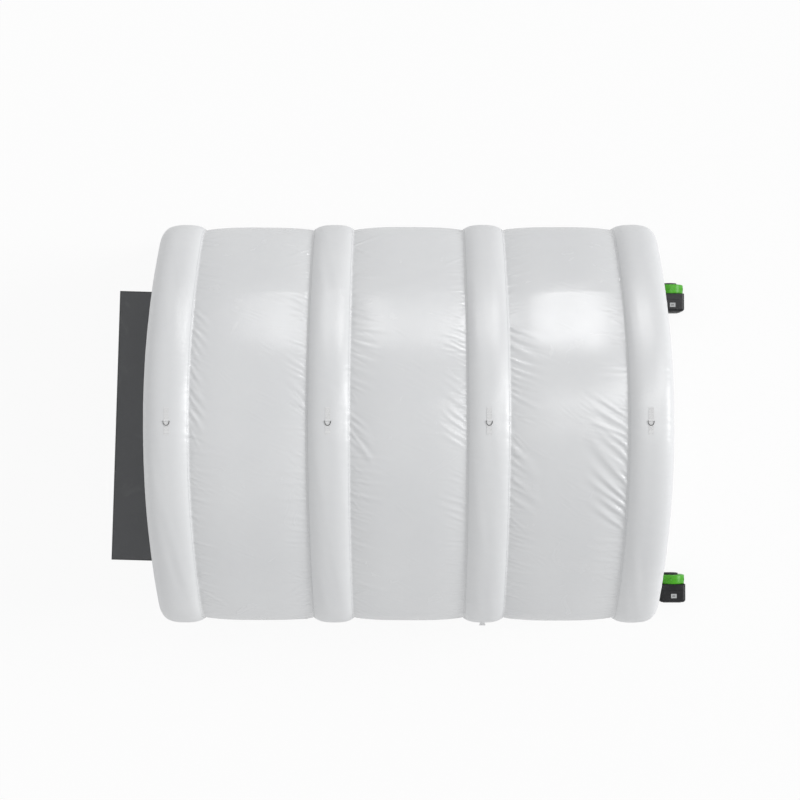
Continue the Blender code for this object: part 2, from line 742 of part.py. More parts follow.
def add_ring_and_tab(name, length, reach, frame):
    """One tab and its ring, placed by a frame whose Z is the fabric's outward normal."""
    tab = tab_body(length, reach)
    tab.transform(frame)
    made = add_object(f"{name}_tab", tab, WEBBING, frame.translation, smooth=False)
    hole = prism(circle(RING_WIRE + RING_SLACK, 10, (0.0, loop_height(reach))), "X", -WEB_WIDTH, WEB_WIDTH)
    hole.transform(frame)
    apply_tool(made, add_cutter(f"cut_{name}_loop", hole))
    ring = ring_body(reach)
    ring.transform(frame)
    add_object(f"{name}_ring", ring, STEEL, frame @ Vector((0.0, 0.0, loop_height(reach))))


def make_rings():
    """A ring on every crown, and one on each side of the two middle arches."""
    crest = crown_rise(CREST_WIDTH / 2)
    step = SHOULDER_Y / ROOF_STEPS
    turn = math.atan(2 * ROOF_FALL * step)
    crown_top = CROWN_Z - ROOF_FALL * step ** 2 + crest * math.cos(turn)
    for index, arch_name in enumerate(ARCH_NAMES):
        frame = Matrix.Translation((arch_x(index), 0.0, crown_top + GAP)) @ Matrix.Rotation(math.pi, 4, "Z")
        add_ring_and_tab(f"crown_{arch_name[5:]}", CROWN_WEB_LENGTH, 0.0, frame)
    for index, arch_name in ((1, "mid_front"), (2, "mid_rear")):
        for side_name, side in SIDES:
            reach = KINKED_REACH if (index, side) == (2, -1) else 0.0
            turned = Matrix(((1, 0, 0), (0, 0, side), (0, -1, 0))).to_4x4()
            if side < 0:
                turned = Matrix(((-1, 0, 0), (0, 0, -1), (0, -1, 0))).to_4x4()
            spot = (arch_x(index), side * (LEG_Y + crest + GAP), LEG_TOP - SIDE_RING_DROP)
            place = Matrix.Translation(spot) @ turned
            add_ring_and_tab(f"side_{arch_name}_{side_name}", SIDE_WEB_LENGTH, reach, place)


def scroll_outline():
    """Casing outline (x, z) round the wheel axis; its duct to -X at the bottom runs past the mouth."""
    points = []
    for step in range(SCROLL_STEPS + 1):
        share = step / SCROLL_STEPS
        turn = math.radians(SCROLL_START - (SCROLL_START + 90) * share)
        radius = SCROLL_SMALL + (SCROLL_LARGE - SCROLL_SMALL) * share
        points.append((radius * math.cos(turn), radius * math.sin(turn)))
    past, top = -DUCT_LENGTH - CASING_ROUNDING, -SCROLL_LARGE + DUCT_HEIGHT
    points += [(past, -SCROLL_LARGE), (past, top), (-DUCT_LENGTH, top)]
    return points[::-1]


COLLAR_DROP = SCROLL_LARGE - DUCT_HEIGHT / 2
STAND_TOP = STAND_FOOT + STAND_PLATE + GAP
AXIS_HEIGHT = STAND_TOP + SCROLL_LARGE
BLOWER_X = LENGTH / 2 + BLOWER_REACH


def placed(bm, offset):
    """Moves a body from blower coordinates to its place in the booth."""
    bmesh.ops.translate(bm, verts=bm.verts, vec=offset)
    return bm


def soft_prism(outline, low, high, chamfer):
    """Prism along Y whose two rims are chamfered."""
    small = offset_outline(outline, -chamfer)
    stations = ((low, small), (low + chamfer, outline), (high - chamfer, outline), (high, small))
    return loft([[(x, y, z) for x, z in points] for y, points in stations])


def make_casing(name, at):
    """Scroll casing, hollow inside, with an open duct mouth, an inlet eye and a shaft hole."""
    half = CASING_WIDTH / 2
    body = soft_prism(scroll_outline(), -half, half, CASING_ROUNDING)
    casing = add_object(f"{name}_casing", placed(body, at), GREEN, at)
    inside = offset_outline(scroll_outline(), -CASING_SKIN)
    room = soft_prism(inside, -half + CASING_SKIN, half - CASING_SKIN,
                      CASING_ROUNDING - (2 - math.sqrt(2)) * CASING_SKIN)
    apply_tool(casing, add_cutter(f"cut_{name}_room", placed(room, at)))
    mouth = box((-DUCT_LENGTH - CUT_REACH, -half - SHORT_REACH, -SCROLL_LARGE - SHORT_REACH),
                (-DUCT_LENGTH, half + SHORT_REACH, -SCROLL_LARGE + DUCT_HEIGHT + SHORT_REACH))
    apply_tool(casing, add_cutter(f"cut_{name}_mouth", placed(mouth, at)))
    eye = prism(circle(INLET_RADIUS, 20), "Y", 0.0, half + CUT_REACH)
    apply_tool(casing, add_cutter(f"cut_{name}_eye", placed(eye, at)))
    shaft = prism(circle(SHAFT_RADIUS + 4 * SHAFT_SLACK, 12), "Y", -half - CUT_REACH, 0.0)
    apply_tool(casing, add_cutter(f"cut_{name}_shaft", placed(shaft, at)))


def make_outlet(name, at):
    """Flange over the casing's duct mouth, with the round collar that the sleeve is pushed over."""
    centre = (0.0, -COLLAR_DROP)
    side = 2 * (COLLAR_RADIUS + OUTLET_RIM)
    seat, end = -DUCT_LENGTH - GAP, -DUCT_LENGTH - COLLAR_LENGTH
    flange = prism(rounded_rectangle(side, side, CASING_ROUNDING, centre), "X", seat - OUTLET_PLATE, seat)
    outlet = add_object(f"{name}_outlet", placed(flange, at), GREEN, at)
    collar = prism(circle(COLLAR_RADIUS, 16, centre), "X", end, seat - OUTLET_PLATE / 2)
    apply_tool(outlet, add_cutter(f"join_{name}_collar", placed(collar, at)), "UNION")
    bore = prism(circle(COLLAR_RADIUS - CASING_SKIN, 16, centre), "X", end - SHORT_REACH, seat + SHORT_REACH)
    apply_tool(outlet, add_cutter(f"cut_{name}_bore", placed(bore, at)))


def annulus(outer, inner, low, high, sides):
    """Short ring about the Y axis."""
    outer_rings = [[(x, y, z) for x, z in circle(outer, sides)] for y in (low, high)]
    inner_rings = [[(x, y, z) for x, z in circle(inner, sides)] for y in (low, high)]
    return tube_shell(outer_rings, inner_rings)


def make_guard(name, at):
    """Domed intake guard: rim, middle ring, spokes and centre disc."""
    seat = CASING_WIDTH / 2 + GAP
    rim = INLET_RADIUS + GUARD_RIM
    guard = add_object(f"{name}_guard", placed(annulus(rim, INLET_RADIUS, seat, seat + GUARD_RISE, 20), at),
                       BLACK, at)
    top = seat + GUARD_RISE
    middle = annulus(INLET_RADIUS * 0.6, INLET_RADIUS * 0.6 - GUARD_BAR, top - GUARD_BAR, top, 20)
    apply_tool(guard, add_cutter(f"join_{name}_ring", placed(middle, at)), "UNION")
    disc = prism(circle(INLET_RADIUS * 0.25, 12), "Y", top - GUARD_BAR, top + GUARD_BAR / 4)
    for spoke in range(GUARD_SPOKES // 2):
        bar = box((-INLET_RADIUS - GUARD_RIM / 2, top - GUARD_BAR * 0.9, -GUARD_BAR / 2),
                  (INLET_RADIUS + GUARD_RIM / 2, top - GUARD_BAR * 0.1, GUARD_BAR / 2))
        turn = Matrix.Rotation(2 * math.pi * (spoke + 0.5) / GUARD_SPOKES, 4, "Y")
        bar.transform(turn)
        apply_tool(guard, add_cutter(f"join_{name}_spoke_{spoke}", placed(bar, at)), "UNION")
    apply_tool(guard, add_cutter(f"join_{name}_disc", placed(disc, at)), "UNION")


def make_wheel(name, at):
    """Squirrel-cage wheel: back plate, hub, raked blades and front ring in one body."""
    back = -CASING_WIDTH / 2 + CASING_SKIN + WHEEL_RUNNING_GAP
    front = CASING_WIDTH / 2 - CASING_SKIN - WHEEL_RUNNING_GAP
    plate = prism(circle(WHEEL_RADIUS, BLADE_COUNT), "Y", back, back + WHEEL_PLATE)
    wheel = add_object(f"{name}_wheel", placed(plate, at), BLACK, at)
    ring = annulus(WHEEL_RADIUS, WHEEL_RADIUS - WHEEL_RIM, front - 2 * WHEEL_PLATE, front, BLADE_COUNT)
    apply_tool(wheel, add_cutter(f"join_{name}_rim", placed(ring, at)), "UNION")
    blades = bmesh.new()
    for index in range(BLADE_COUNT):
        half = WHEEL_RIM * 0.45
        blade = box((-half, back + WHEEL_PLATE / 2, -BLADE_SKIN / 2),
                    (half, front - WHEEL_PLATE, BLADE_SKIN / 2))
        rake = Matrix.Rotation(math.radians(BLADE_ANGLE), 4, "Y")
        rim_middle = WHEEL_RADIUS * math.cos(math.pi / BLADE_COUNT) - WHEEL_RIM * 0.55
        out = Matrix.Translation((rim_middle, 0.0, 0.0))
        turn = Matrix.Rotation(2 * math.pi * (index + 0.5) / BLADE_COUNT, 4, "Y")
        blade.transform(turn @ out @ rake)
        mesh = bpy.data.meshes.new("blade")
        blade.to_mesh(mesh)
        blade.free()
        blades.from_mesh(mesh)
        bpy.data.meshes.remove(mesh)
    apply_tool(wheel, add_cutter(f"join_{name}_blades", placed(blades, at)), "UNION")
    hub = prism(circle(HUB_RADIUS, 12), "Y", back + WHEEL_PLATE / 2, back + HUB_LENGTH)
    apply_tool(wheel, add_cutter(f"join_{name}_hub", placed(hub, at)), "UNION")
    bore = prism(circle(SHAFT_RADIUS + GAP, 12), "Y", back - SHORT_REACH,
                 back + HUB_LENGTH + SHORT_REACH)
    apply_tool(wheel, add_cutter(f"cut_{name}_hub", placed(bore, at)))


def make_motor(name, at):
    """Motor can behind the casing, with the shaft that carries the wheel."""
    face = -CASING_WIDTH / 2 - GAP
    can = prism(circle(MOTOR_RADIUS, 20), "Y", face - MOTOR_LENGTH, face)
    motor = add_object(f"{name}_motor", placed(can, at), MOTOR, at)
    tip = -CASING_WIDTH / 2 + CASING_SKIN + WHEEL_RUNNING_GAP + HUB_LENGTH - SHAFT_SHORT
    shaft = prism(circle(SHAFT_RADIUS, 12), "Y", face - SHORT_REACH / 2, tip)
    apply_tool(motor, add_cutter(f"join_{name}_shaft", placed(shaft, at)), "UNION")


def housing_rings(margin, length):
    """Rounded box section along -Y from the casing, drawn in at its end."""
    centre = (HOUSING_SHIFT, -SCROLL_LARGE + HOUSING_HEIGHT / 2)
    start = -CASING_WIDTH / 2 - GAP
    full = rounded_rectangle(HOUSING_WIDTH, HOUSING_HEIGHT, HOUSING_CORNER, centre)
    full = offset_outline(full, -margin)
    rings = [(start, full), (start - length + HOUSING_TAPER, full)]
    for share, inset in ((0.55, 0.010), (0.9, 0.024), (1.0, 0.036)):
        rings.append((start - length + HOUSING_TAPER * (1 - share), offset_outline(full, -inset)))
    return [[(x, y, z) for x, z in points] for y, points in rings]


def make_housing(name, at):
    """Motor housing, open towards the casing, with vent slots in its end."""
    housing = add_object(f"{name}_housing", placed(loft(housing_rings(0.0, HOUSING_LENGTH)), at), BLACK, at)
    inner = housing_rings(CASING_SKIN, HOUSING_LENGTH - CASING_SKIN)
    inner[0] = [(x, y + SHORT_REACH, z) for x, y, z in inner[0]]
    apply_tool(housing, add_cutter(f"cut_{name}_housing", placed(loft(inner), at)))
    end = -CASING_WIDTH / 2 - HOUSING_LENGTH
    for index in range(VENT_COUNT):
        x = HOUSING_SHIFT + (index - (VENT_COUNT - 1) / 2) * VENT_PITCH
        vent = box((x - VENT_WIDTH / 2, end - SHORT_REACH, -VENT_HEIGHT / 2),
                   (x + VENT_WIDTH / 2, end + 3 * CASING_SKIN, VENT_HEIGHT / 2))
        apply_tool(housing, add_cutter(f"cut_{name}_vent_{index}", placed(vent, at)))


def make_stand(name, at):
    """Foot plate under casing and housing, on four feet."""
    top = -SCROLL_LARGE - GAP
    low_x = HOUSING_SHIFT - HOUSING_WIDTH / 2 + STAND_MARGIN
    high_x = HOUSING_SHIFT + HOUSING_WIDTH / 2 - STAND_MARGIN
    low_y = -CASING_WIDTH / 2 - HOUSING_LENGTH + HOUSING_TAPER
    high_y = CASING_WIDTH / 2 - CASING_ROUNDING
    plate = box((low_x, low_y, top - STAND_PLATE), (high_x, high_y, top))
    stand = add_object(f"{name}_stand", placed(plate, at), BLACK, at, smooth=False)
    index = 0
    for x in (low_x + 2 * STAND_FOOT_RADIUS, high_x - 2 * STAND_FOOT_RADIUS):
        for y in (low_y + 2 * STAND_FOOT_RADIUS, high_y - 2 * STAND_FOOT_RADIUS):
            foot = prism(circle(STAND_FOOT_RADIUS, 10, (x, y)), "Z", top - STAND_PLATE - STAND_FOOT,
                         top - STAND_PLATE / 2)
            apply_tool(stand, add_cutter(f"join_{name}_foot_{index}", placed(foot, at)), "UNION")
            index += 1


def make_switch(name, at):
    """Pale switch plate on the housing's top, and its rocker, at rest in the off position."""
    top = -SCROLL_LARGE + HOUSING_HEIGHT + GAP
    x, y = SWITCH_SHIFT, -SWITCH_SETBACK
    plate = box((x - BEZEL_LENGTH / 2, y - BEZEL_WIDTH / 2, top),
                (x + BEZEL_LENGTH / 2, y + BEZEL_WIDTH / 2, top + BEZEL_HEIGHT))
    bezel = add_object(f"{name}_switch_plate", placed(plate, at), GREY, at, smooth=False)
    side_x, side_y = ROCKER_LENGTH / 2 + ROCKER_SLACK, ROCKER_WIDTH / 2 + GAP
    room = box((x - side_x, y - side_y, top - SHORT_REACH),
               (x + side_x, y + side_y, top + BEZEL_HEIGHT + SHORT_REACH))
    apply_tool(bezel, add_cutter(f"cut_{name}_rocker", placed(room, at)))
    pivot = Vector((x, y, top + BEZEL_HEIGHT * 0.6))
    half = (ROCKER_LENGTH - ROCKER_SLACK) / 2
    dip = half * math.tan(math.radians(ROCKER_TILT))
    rise = BEZEL_HEIGHT * 0.4
    drop = -BEZEL_HEIGHT * 0.55
    outline = [(-half, rise + dip), (-half, 0.0), (-half * 0.35, drop), (half * 0.35, drop), (half, 0.0),
               (half, rise + dip), (0.0, rise)]
    rocker = prism(outline, "Y", -ROCKER_WIDTH / 2, ROCKER_WIDTH / 2)
    rocker.transform(Matrix.Translation(pivot) @ Matrix.Rotation(math.radians(ROCKER_TILT), 4, "Y"))
    add_object(f"{name}_rocker", placed(rocker, at), BLACK, at + pivot, smooth=False)


def sleeve_rings(at, end, margin):
    """Rings of a sleeve from the blower's collar to its port."""
    collar = Vector((at.x - DUCT_LENGTH, at.y, at.z - COLLAR_DROP))
    small = COLLAR_RADIUS + GAP + SLEEVE_SKIN - margin
    stations = [(Vector((collar.x - GAP - OUTLET_PLATE - SLEEVE_SKIN, collar.y, collar.z)), small),
                (Vector((collar.x - COLLAR_LENGTH, collar.y, collar.z)), small)]
    begin = stations[-1][0]
    for step in range(1, SLEEVE_STEPS + 1):
        share = step / SLEEVE_STEPS
        ease = share * share * (3 - 2 * share)
        centre = Vector((begin.x + (end.x - begin.x) * share, begin.y + (end.y - begin.y) * ease,
                         begin.z + (end.z - begin.z) * ease))
        stations.append((centre, small + (SLEEVE_FLARE - margin - small) * ease))
    return [[(centre.x, centre.y + a, centre.z + b) for a, b in circle(radius, SLEEVE_SIDES)]
            for centre, radius in stations]


def make_sleeve(name, at, end):
    """Fabric sleeve pushed over the collar, with the buckled strap sewn to it that holds it there."""
    middle = at.x - DUCT_LENGTH - COLLAR_LENGTH / 2
    low, high = middle - STRAP_WIDTH / 2, middle + STRAP_WIDTH / 2
    centre = (at.y, at.z - COLLAR_DROP)
    skin = COLLAR_RADIUS + GAP + SLEEVE_SKIN
    band = ((high, skin), (high, skin + STRAP_SKIN), (low, skin + STRAP_SKIN), (low, skin))
    outer = sleeve_rings(at, end, 0.0)
    outer[1:1] = [[(x, y, z) for y, z in circle(radius, SLEEVE_SIDES, centre)] for x, radius in band]
    shell = tube_shell(outer, sleeve_rings(at, end, SLEEVE_SKIN))
    sleeve = add_object(f"{name}_sleeve", shell, PEARL)
    top = centre[1] + skin + STRAP_SKIN / 2
    buckle = box((low - STRAP_SKIN, centre[0] - BUCKLE / 2, top),
                 (high + STRAP_SKIN, centre[0] + BUCKLE / 2, top + 3 * STRAP_SKIN))
    apply_tool(sleeve, add_cutter(f"join_{name}_buckle", buckle), "UNION")


def make_blower(name, y, end):
    """One complete blower, standing behind the booth."""
    at = Vector((BLOWER_X, y, AXIS_HEIGHT))
    make_casing(name, at)
    make_outlet(name, at)
    make_guard(name, at)
    make_wheel(name, at)
    make_motor(name, at)
    make_housing(name, at)
    make_stand(name, at)
    make_switch(name, at)
    make_sleeve(name, at, end)


base_tools = base_cutters()
make_base_tubes()
make_arches(base_tools)
make_panels(base_tools)
make_front_wall(base_tools)
make_rear_wall(base_tools)
make_filters()
make_curtain()
make_zips()
make_mat()
make_rings()
make_blower("frame_blower", FRAME_BLOWER_Y,
            Vector((LENGTH / 2 + BASE_DOME + GAP, FRAME_PORT_Y, INLET_HEIGHT)))
make_blower("supply_blower", SUPPLY_BLOWER_Y,
            Vector((END_ARCH_X + WALL_SKIN / 2 + GAP, SUPPLY_PORT_Y, INLET_HEIGHT)))
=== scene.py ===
import math
from contextlib import contextmanager

import bmesh
import bpy
import numpy as np
from mathutils import Matrix, Vector


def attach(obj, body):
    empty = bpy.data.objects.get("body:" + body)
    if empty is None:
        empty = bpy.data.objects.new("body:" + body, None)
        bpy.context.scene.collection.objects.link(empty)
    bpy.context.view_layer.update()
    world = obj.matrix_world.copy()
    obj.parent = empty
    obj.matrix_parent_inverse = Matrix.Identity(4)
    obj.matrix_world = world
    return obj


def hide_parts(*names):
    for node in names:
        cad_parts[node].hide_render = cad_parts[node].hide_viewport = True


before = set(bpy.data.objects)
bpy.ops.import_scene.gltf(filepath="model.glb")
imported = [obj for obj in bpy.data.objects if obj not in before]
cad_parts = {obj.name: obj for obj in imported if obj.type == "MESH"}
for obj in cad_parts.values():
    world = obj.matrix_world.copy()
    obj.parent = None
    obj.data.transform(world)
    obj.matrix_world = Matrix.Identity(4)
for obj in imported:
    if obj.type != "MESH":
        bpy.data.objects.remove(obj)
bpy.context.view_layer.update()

# Camera 19 m above the floor, tipped a degree and a half, as the booth was photographed.
# The foot point is the pixel straight below it.
CAMERA_PLACE = (0.0, -0.24, 19.35)
FRAME_PIXELS = 800
FOCAL_PIXELS = 1752
FOOT_POINT = (408.5, 446.7)
SENSOR = 36
scene = bpy.context.scene
scene.view_settings.view_transform = "Standard"


def new_object(name, data):
    """Object in the scene, at the origin."""
    made = bpy.data.objects.new(name, data)
    scene.collection.objects.link(made)
    return made


camera = new_object("camera", bpy.data.cameras.new("camera"))
camera.data.sensor_width = SENSOR
camera.data.lens = FOCAL_PIXELS * SENSOR / FRAME_PIXELS
middle = FRAME_PIXELS / 2
aim = Vector((middle - FOOT_POINT[0], FOOT_POINT[1] - middle, -FOCAL_PIXELS)).normalized()
right = aim.cross(Vector((0, 1, 0))).normalized()
turned = Matrix((right, right.cross(aim), -aim)).transposed().to_4x4()
camera.matrix_world = Matrix.Translation(CAMERA_PLACE) @ turned
camera.data.clip_end = 100
scene.camera = camera

# Plain studio: even pale surroundings, a broad soft lamp low on the right, and a pale floor
# that shows as white from the camera but keeps the booth's shadow. Three softboxes show
# only as soft reflections in the satin cloth: place, aim, size, power.
SURROUND_LEVEL = 0.635
LAMP_LEVEL = 1.5
LAMP_ANGLE = math.radians(24)
LAMP_WAY = (0.90, 0.12, 0.42)
SOFTBOXES = (((2.95, 10.5, 6.9), (1.8, 1.0, 2.3), (1.8, 5.0), 310.0),
             ((-1.05, 10.5, 6.9), (-0.75, 1.0, 2.3), (1.3, 5.0), 135.0),
             ((4.6, 2.4, 9.0), (2.3, 0.3, 2.9), (2.6, 7.0), 180.0))
FLOOR_RADIUS = 60.0
FLOOR_DROP = 0.002
FLOOR_TONE = 0.93
FLOOR_WHITE = 0.90


@contextmanager
def edit(mesh):
    """Opens a mesh for bmesh operators, and writes it back when the block ends."""
    bm = bmesh.new()
    bm.from_mesh(mesh)
    yield bm
    bm.to_mesh(mesh)
    bm.free()


class Shader:
    """Short way to write one node tree: each call makes a node and links what it is given."""

    def __init__(self, tree):
        self.tree = tree

    def feed(self, node, sockets):
        """Links or sets sockets by name, with _ for a space, or by number, as in _0."""
        for name, value in sockets.items():
            name = name.replace("_", " ").strip()
            socket = node.inputs[int(name)] if name.isdigit() else node.inputs[name]
            if isinstance(value, bpy.types.NodeSocket):
                self.tree.links.new(value, socket)
            else:
                socket.default_value = value
        return node

    def __call__(self, kind, out=0, settings=None, **sockets):
        node = self.tree.nodes.new("ShaderNode" + kind)
        for name, value in (settings or {}).items():
            setattr(node, name, value)
        return self.feed(node, sockets).outputs[out]

    def math(self, operation, one, two=0.0, three=0.0, clamp=False):
        return self("Math", settings={"operation": operation, "use_clamp": clamp}, _0=one, _1=two, _2=three)

    def times(self, one, two):
        return self.math("MULTIPLY", one, two)

    def times_add(self, one, two, three, clamp=False):
        return self.math("MULTIPLY_ADD", one, two, three, clamp)

    def minus(self, one, two):
        return self.math("SUBTRACT", one, two)

    def mix(self, share, one, two):
        """Colour one, turning into two as the share rises."""
        one, two = ((*colour, 1.0) if isinstance(colour, tuple) else colour for colour in (one, two))
        return self("Mix", out=2, settings={"data_type": "RGBA"}, _0=share, _6=one, _7=two)

    def split(self, vector):
        """The three parts of a vector."""
        return self.feed(self.tree.nodes.new("ShaderNodeSeparateXYZ"), {"_0": vector}).outputs

    def group(self, group, **sockets):
        """The outputs of a node group."""
        node = self.tree.nodes.new("ShaderNodeGroup")
        node.node_tree = group
        return self.feed(node, sockets).outputs

    def seen_share(self):
        """1 for rays straight from the camera or through clear vinyl, 0 for the others."""
        straight, through = (self("LightPath", out=f"Is {kind} Ray") for kind in ("Camera", "Transmission"))
        return self.math("MAXIMUM", straight, through)

    def principled(self, **sockets):
        """Links or sets sockets of the material's own shader."""
        return self.feed(self.tree.nodes["Principled BSDF"], sockets)

    def bump(self, height, strength, distance=1.0):
        return self("Bump", Height=height, Distance=distance, Strength=strength)


def new_material(name, roughness, metallic=0.0, **sockets):
    """Material with values on its shader's own sockets, and the means to link the others."""
    made = bpy.data.materials.new(name)
    made.use_nodes = True
    s = Shader(made.node_tree)
    s.principled(Roughness=roughness, Metallic=metallic, **sockets)
    return made, s


world = bpy.data.worlds.new("studio")
scene.world = world
world.use_nodes = True
s = Shader(world.node_tree)
level = s("Mix", Factor=s.seen_share(), A=SURROUND_LEVEL, B=1.0)
s.feed(s.tree.nodes["Background"], {"Strength": level, "Color": (1.0, 1.0, 1.0, 1.0)})

lamp = new_object("lamp", bpy.data.lights.new("lamp", "SUN"))
lamp.data.energy = LAMP_LEVEL
lamp.data.angle = LAMP_ANGLE
lamp.rotation_euler = Vector(LAMP_WAY).to_track_quat("Z", "Y").to_euler()
for place, aim, size, power in SOFTBOXES:
    box = new_object("softbox", bpy.data.lights.new("softbox", "AREA"))
    box.data.shape = "RECTANGLE"
    box.data.size, box.data.size_y = size
    box.data.energy = power
    box.location = place
    box.rotation_euler = (Vector(place) - Vector(aim)).to_track_quat("Z", "Y").to_euler()
    box.visible_diffuse = False
    box.visible_camera = False

mesh = bpy.data.meshes.new("floor")
with edit(mesh) as bm:
    bmesh.ops.create_circle(bm, cap_ends=True, segments=96, radius=FLOOR_RADIUS)
    bmesh.ops.translate(bm, verts=bm.verts, vec=(0, 0, -FLOOR_DROP))
paint, s = new_material("floor", 0.9, Base_Color=(FLOOR_TONE, FLOOR_TONE, FLOOR_TONE, 1.0))
white = s("MixShader", _0=s.times(s.seen_share(), FLOOR_WHITE), _1=s.principled().outputs[0], _2=s("Emission"))
s.feed(s.tree.nodes["Material Output"], {"Surface": white})
mesh.materials.append(paint)
new_object("floor", mesh)

# Ground tubes. Two long air tubes of satin coated polyester lie along the floor, carry the
# arches and feed them with air. Each is one rolled sheet with a lapped seam, closed by
# round end discs that bulge under the air.
LENGTH = 5.0
WIDTH = 4.06
BASE_RADIUS = 0.22
BASE_Y = WIDTH / 2 - 0.20
BASE_Z = BASE_RADIUS - 0.015
BASE_DOME = 0.03
GAP = 0.0003
SIDES = (("right", -1), ("left", 1))
WANDER_REACH = 8.0


def ease(share):
    """Share from 0 to 1 that sets in and ends softly."""
    return share * share * (3 - 2 * share)


def wander(along, pitch, seed):
    """Smooth random line between -1 and 1 with a new value every pitch metres."""
    values = np.random.RandomState(seed).uniform(-1, 1, int(2 * WANDER_REACH / pitch) + 3)
    place = (np.asarray(along) + WANDER_REACH) / pitch
    low = np.clip(np.floor(place).astype(int), 0, len(values) - 2)
    share = ease(place - low)
    return values[low] * (1 - share) + values[low + 1] * share


def grid_mesh(name, across, along, place, size, closed=False, faces_up=None):
    """Grid of quads carried onto a surface. place takes shares across and along and gives
    points; the UV map holds metres, size across and along."""
    mesh = bpy.data.meshes.new(name)
    with edit(mesh) as bm:
        bm.loops.layers.uv.new("UVMap")
        bmesh.ops.create_grid(bm, x_segments=across, y_segments=along, size=0.5, calc_uvs=True)
    flat = np.empty(len(mesh.vertices) * 3, np.float32)
    mesh.vertices.foreach_get("co", flat)
    flat = flat.reshape(-1, 3).astype(float) + 0.5
    points = place(np.clip(flat[:, 0], 0, 1), np.clip(flat[:, 1], 0, 1))
    mesh.vertices.foreach_set("co", np.asarray(points, np.float32).ravel())
    uv = np.empty(len(mesh.loops) * 2, np.float32)
    mesh.uv_layers[0].uv.foreach_get("vector", uv)
    metres = uv.reshape(-1, 2) * np.array(size, np.float32)
    mesh.uv_layers[0].uv.foreach_set("vector", metres.ravel())
    with edit(mesh) as bm:
        bmesh.ops.remove_doubles(bm, verts=bm.verts, dist=1e-5)
        if closed:
            open_edges = [edge for edge in bm.edges if edge.is_boundary]
            if open_edges:
                bmesh.ops.holes_fill(bm, edges=open_edges, sides=0)
            bmesh.ops.recalc_face_normals(bm, faces=bm.faces)
        elif faces_up is not None:
            total = sum((face.normal * face.calc_area() for face in bm.faces), Vector())
            if total.dot(Vector(faces_up)) < 0:
                bmesh.ops.reverse_faces(bm, faces=bm.faces)
    mesh.update()
    return mesh


def add_piece(name, mesh, surface, replaced=None, sharp=None, body="booth"):
    """Links a finished mesh, gives it its material, hangs it on its body and hides the CAD part it replaces."""
    piece = new_object(name, mesh)
    mesh.materials.clear()
    mesh.materials.append(surface)
    mesh.shade_smooth()
    if sharp:
        mesh.set_sharp_from_angle(angle=math.radians(sharp))
    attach(piece, body)
    if replaced:
        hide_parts(replaced)
    return piece


def shader_group(name, inputs, outputs, build):
    """Node group with named inputs and outputs of numbers; build wires it up."""
    group = bpy.data.node_groups.new(name, "ShaderNodeTree")
    for label, kind, value in inputs:
        socket = group.interface.new_socket(label, in_out="INPUT", socket_type="NodeSocket" + kind)
        if value is not None:
            socket.default_value = value
    for label in outputs:
        group.interface.new_socket(label, in_out="OUTPUT", socket_type="NodeSocketFloat")
    entry = group.nodes.new("NodeGroupInput")
    leave = group.nodes.new("NodeGroupOutput")
    results = build(Shader(group), {label: entry.outputs[label] for label, _, _ in inputs})
    for label in outputs:
        group.links.new(results[label], leave.inputs[label])
    return group


def weave_nodes(s, given):
    """Over and under of a plain weave: two crossed sets of threads, thicker here and there."""
    place = s("VectorMath", settings={"operation": "SCALE"}, _0=given["Vector"], Scale=given["Threads"])
    parts = s.split(place)
    one, two = (s.math("SINE", s.times(parts[k], math.pi)) for k in range(2))
    height = s.times_add(s.times(one, two), 0.5, 0.5)
    slub = s("TexNoise", Vector=place, Scale=0.07, Detail=2.0)
    return {"Height": s.math("ADD", height, s.times(slub, 0.5))}


WEAVE = shader_group("weave", [("Vector", "Vector", None), ("Threads", "Float", 600.0)], ["Height"], weave_nodes)


def tone_nodes(s, given):
    """Slow changes of tone over a cloth, and faint scuffs."""
    place, scale = given["Vector"], given["Scale"]
    slow = s("TexNoise", Vector=place, Scale=scale, Detail=4.0, Roughness=0.55)
    fine = s("TexNoise", Vector=place, Scale=s.times(scale, 14.0), Detail=3.0)
    scuff = s("TexNoise", Vector=place, Scale=s.times(scale, 3.0), Detail=6.0, Distortion=1.2)
    tone = s.times_add(s.minus(slow, 0.5), 1.4, 0.5)
    tone = s.times_add(s.minus(fine, 0.5), 0.35, tone, clamp=True)
    return {"Tone": tone, "Scuff": s("MapRange", Value=scuff, From_Min=0.60, From_Max=0.78)}


TONE = shader_group("tone", [("Vector", "Vector", None), ("Scale", "Float", 1.0)], ["Tone", "Scuff"], tone_nodes)


def stitch_nodes(s, given):
    """Row of stitches: 1 on the thread, 0 beside it, and 1 in the groove it pulls down."""
    pitch = given["Pitch"]
    off = s.math("ABSOLUTE", s.minus(given["Across"], given["Row"]))
    beat = s.math("FRACT", s.math("DIVIDE", given["Along"], pitch))
    thread = s.times(s.math("LESS_THAN", off, s.times(pitch, 0.16)), s.math("LESS_THAN", beat, 0.68))
    groove = s("MapRange", settings={"interpolation_type": "SMOOTHSTEP"}, Value=off,
               From_Min=s.times(pitch, 0.6), From_Max=0.0)
    return {"Thread": thread, "Groove": groove}


STITCH = shader_group("stitch", [("Across", "Float", 0.0), ("Along", "Float", 0.0), ("Row", "Float", 0.01),
                                 ("Pitch", "Float", 0.005)], ["Thread", "Groove"], stitch_nodes)


def coordinates(s, scale):
    """A material's places on the object, its UV map, and its slow tones at a scale."""
    place = s("TexCoord", out="Object")
    return place, s("TexCoord", out="UV"), s.group(TONE, Vector=place, Scale=scale)


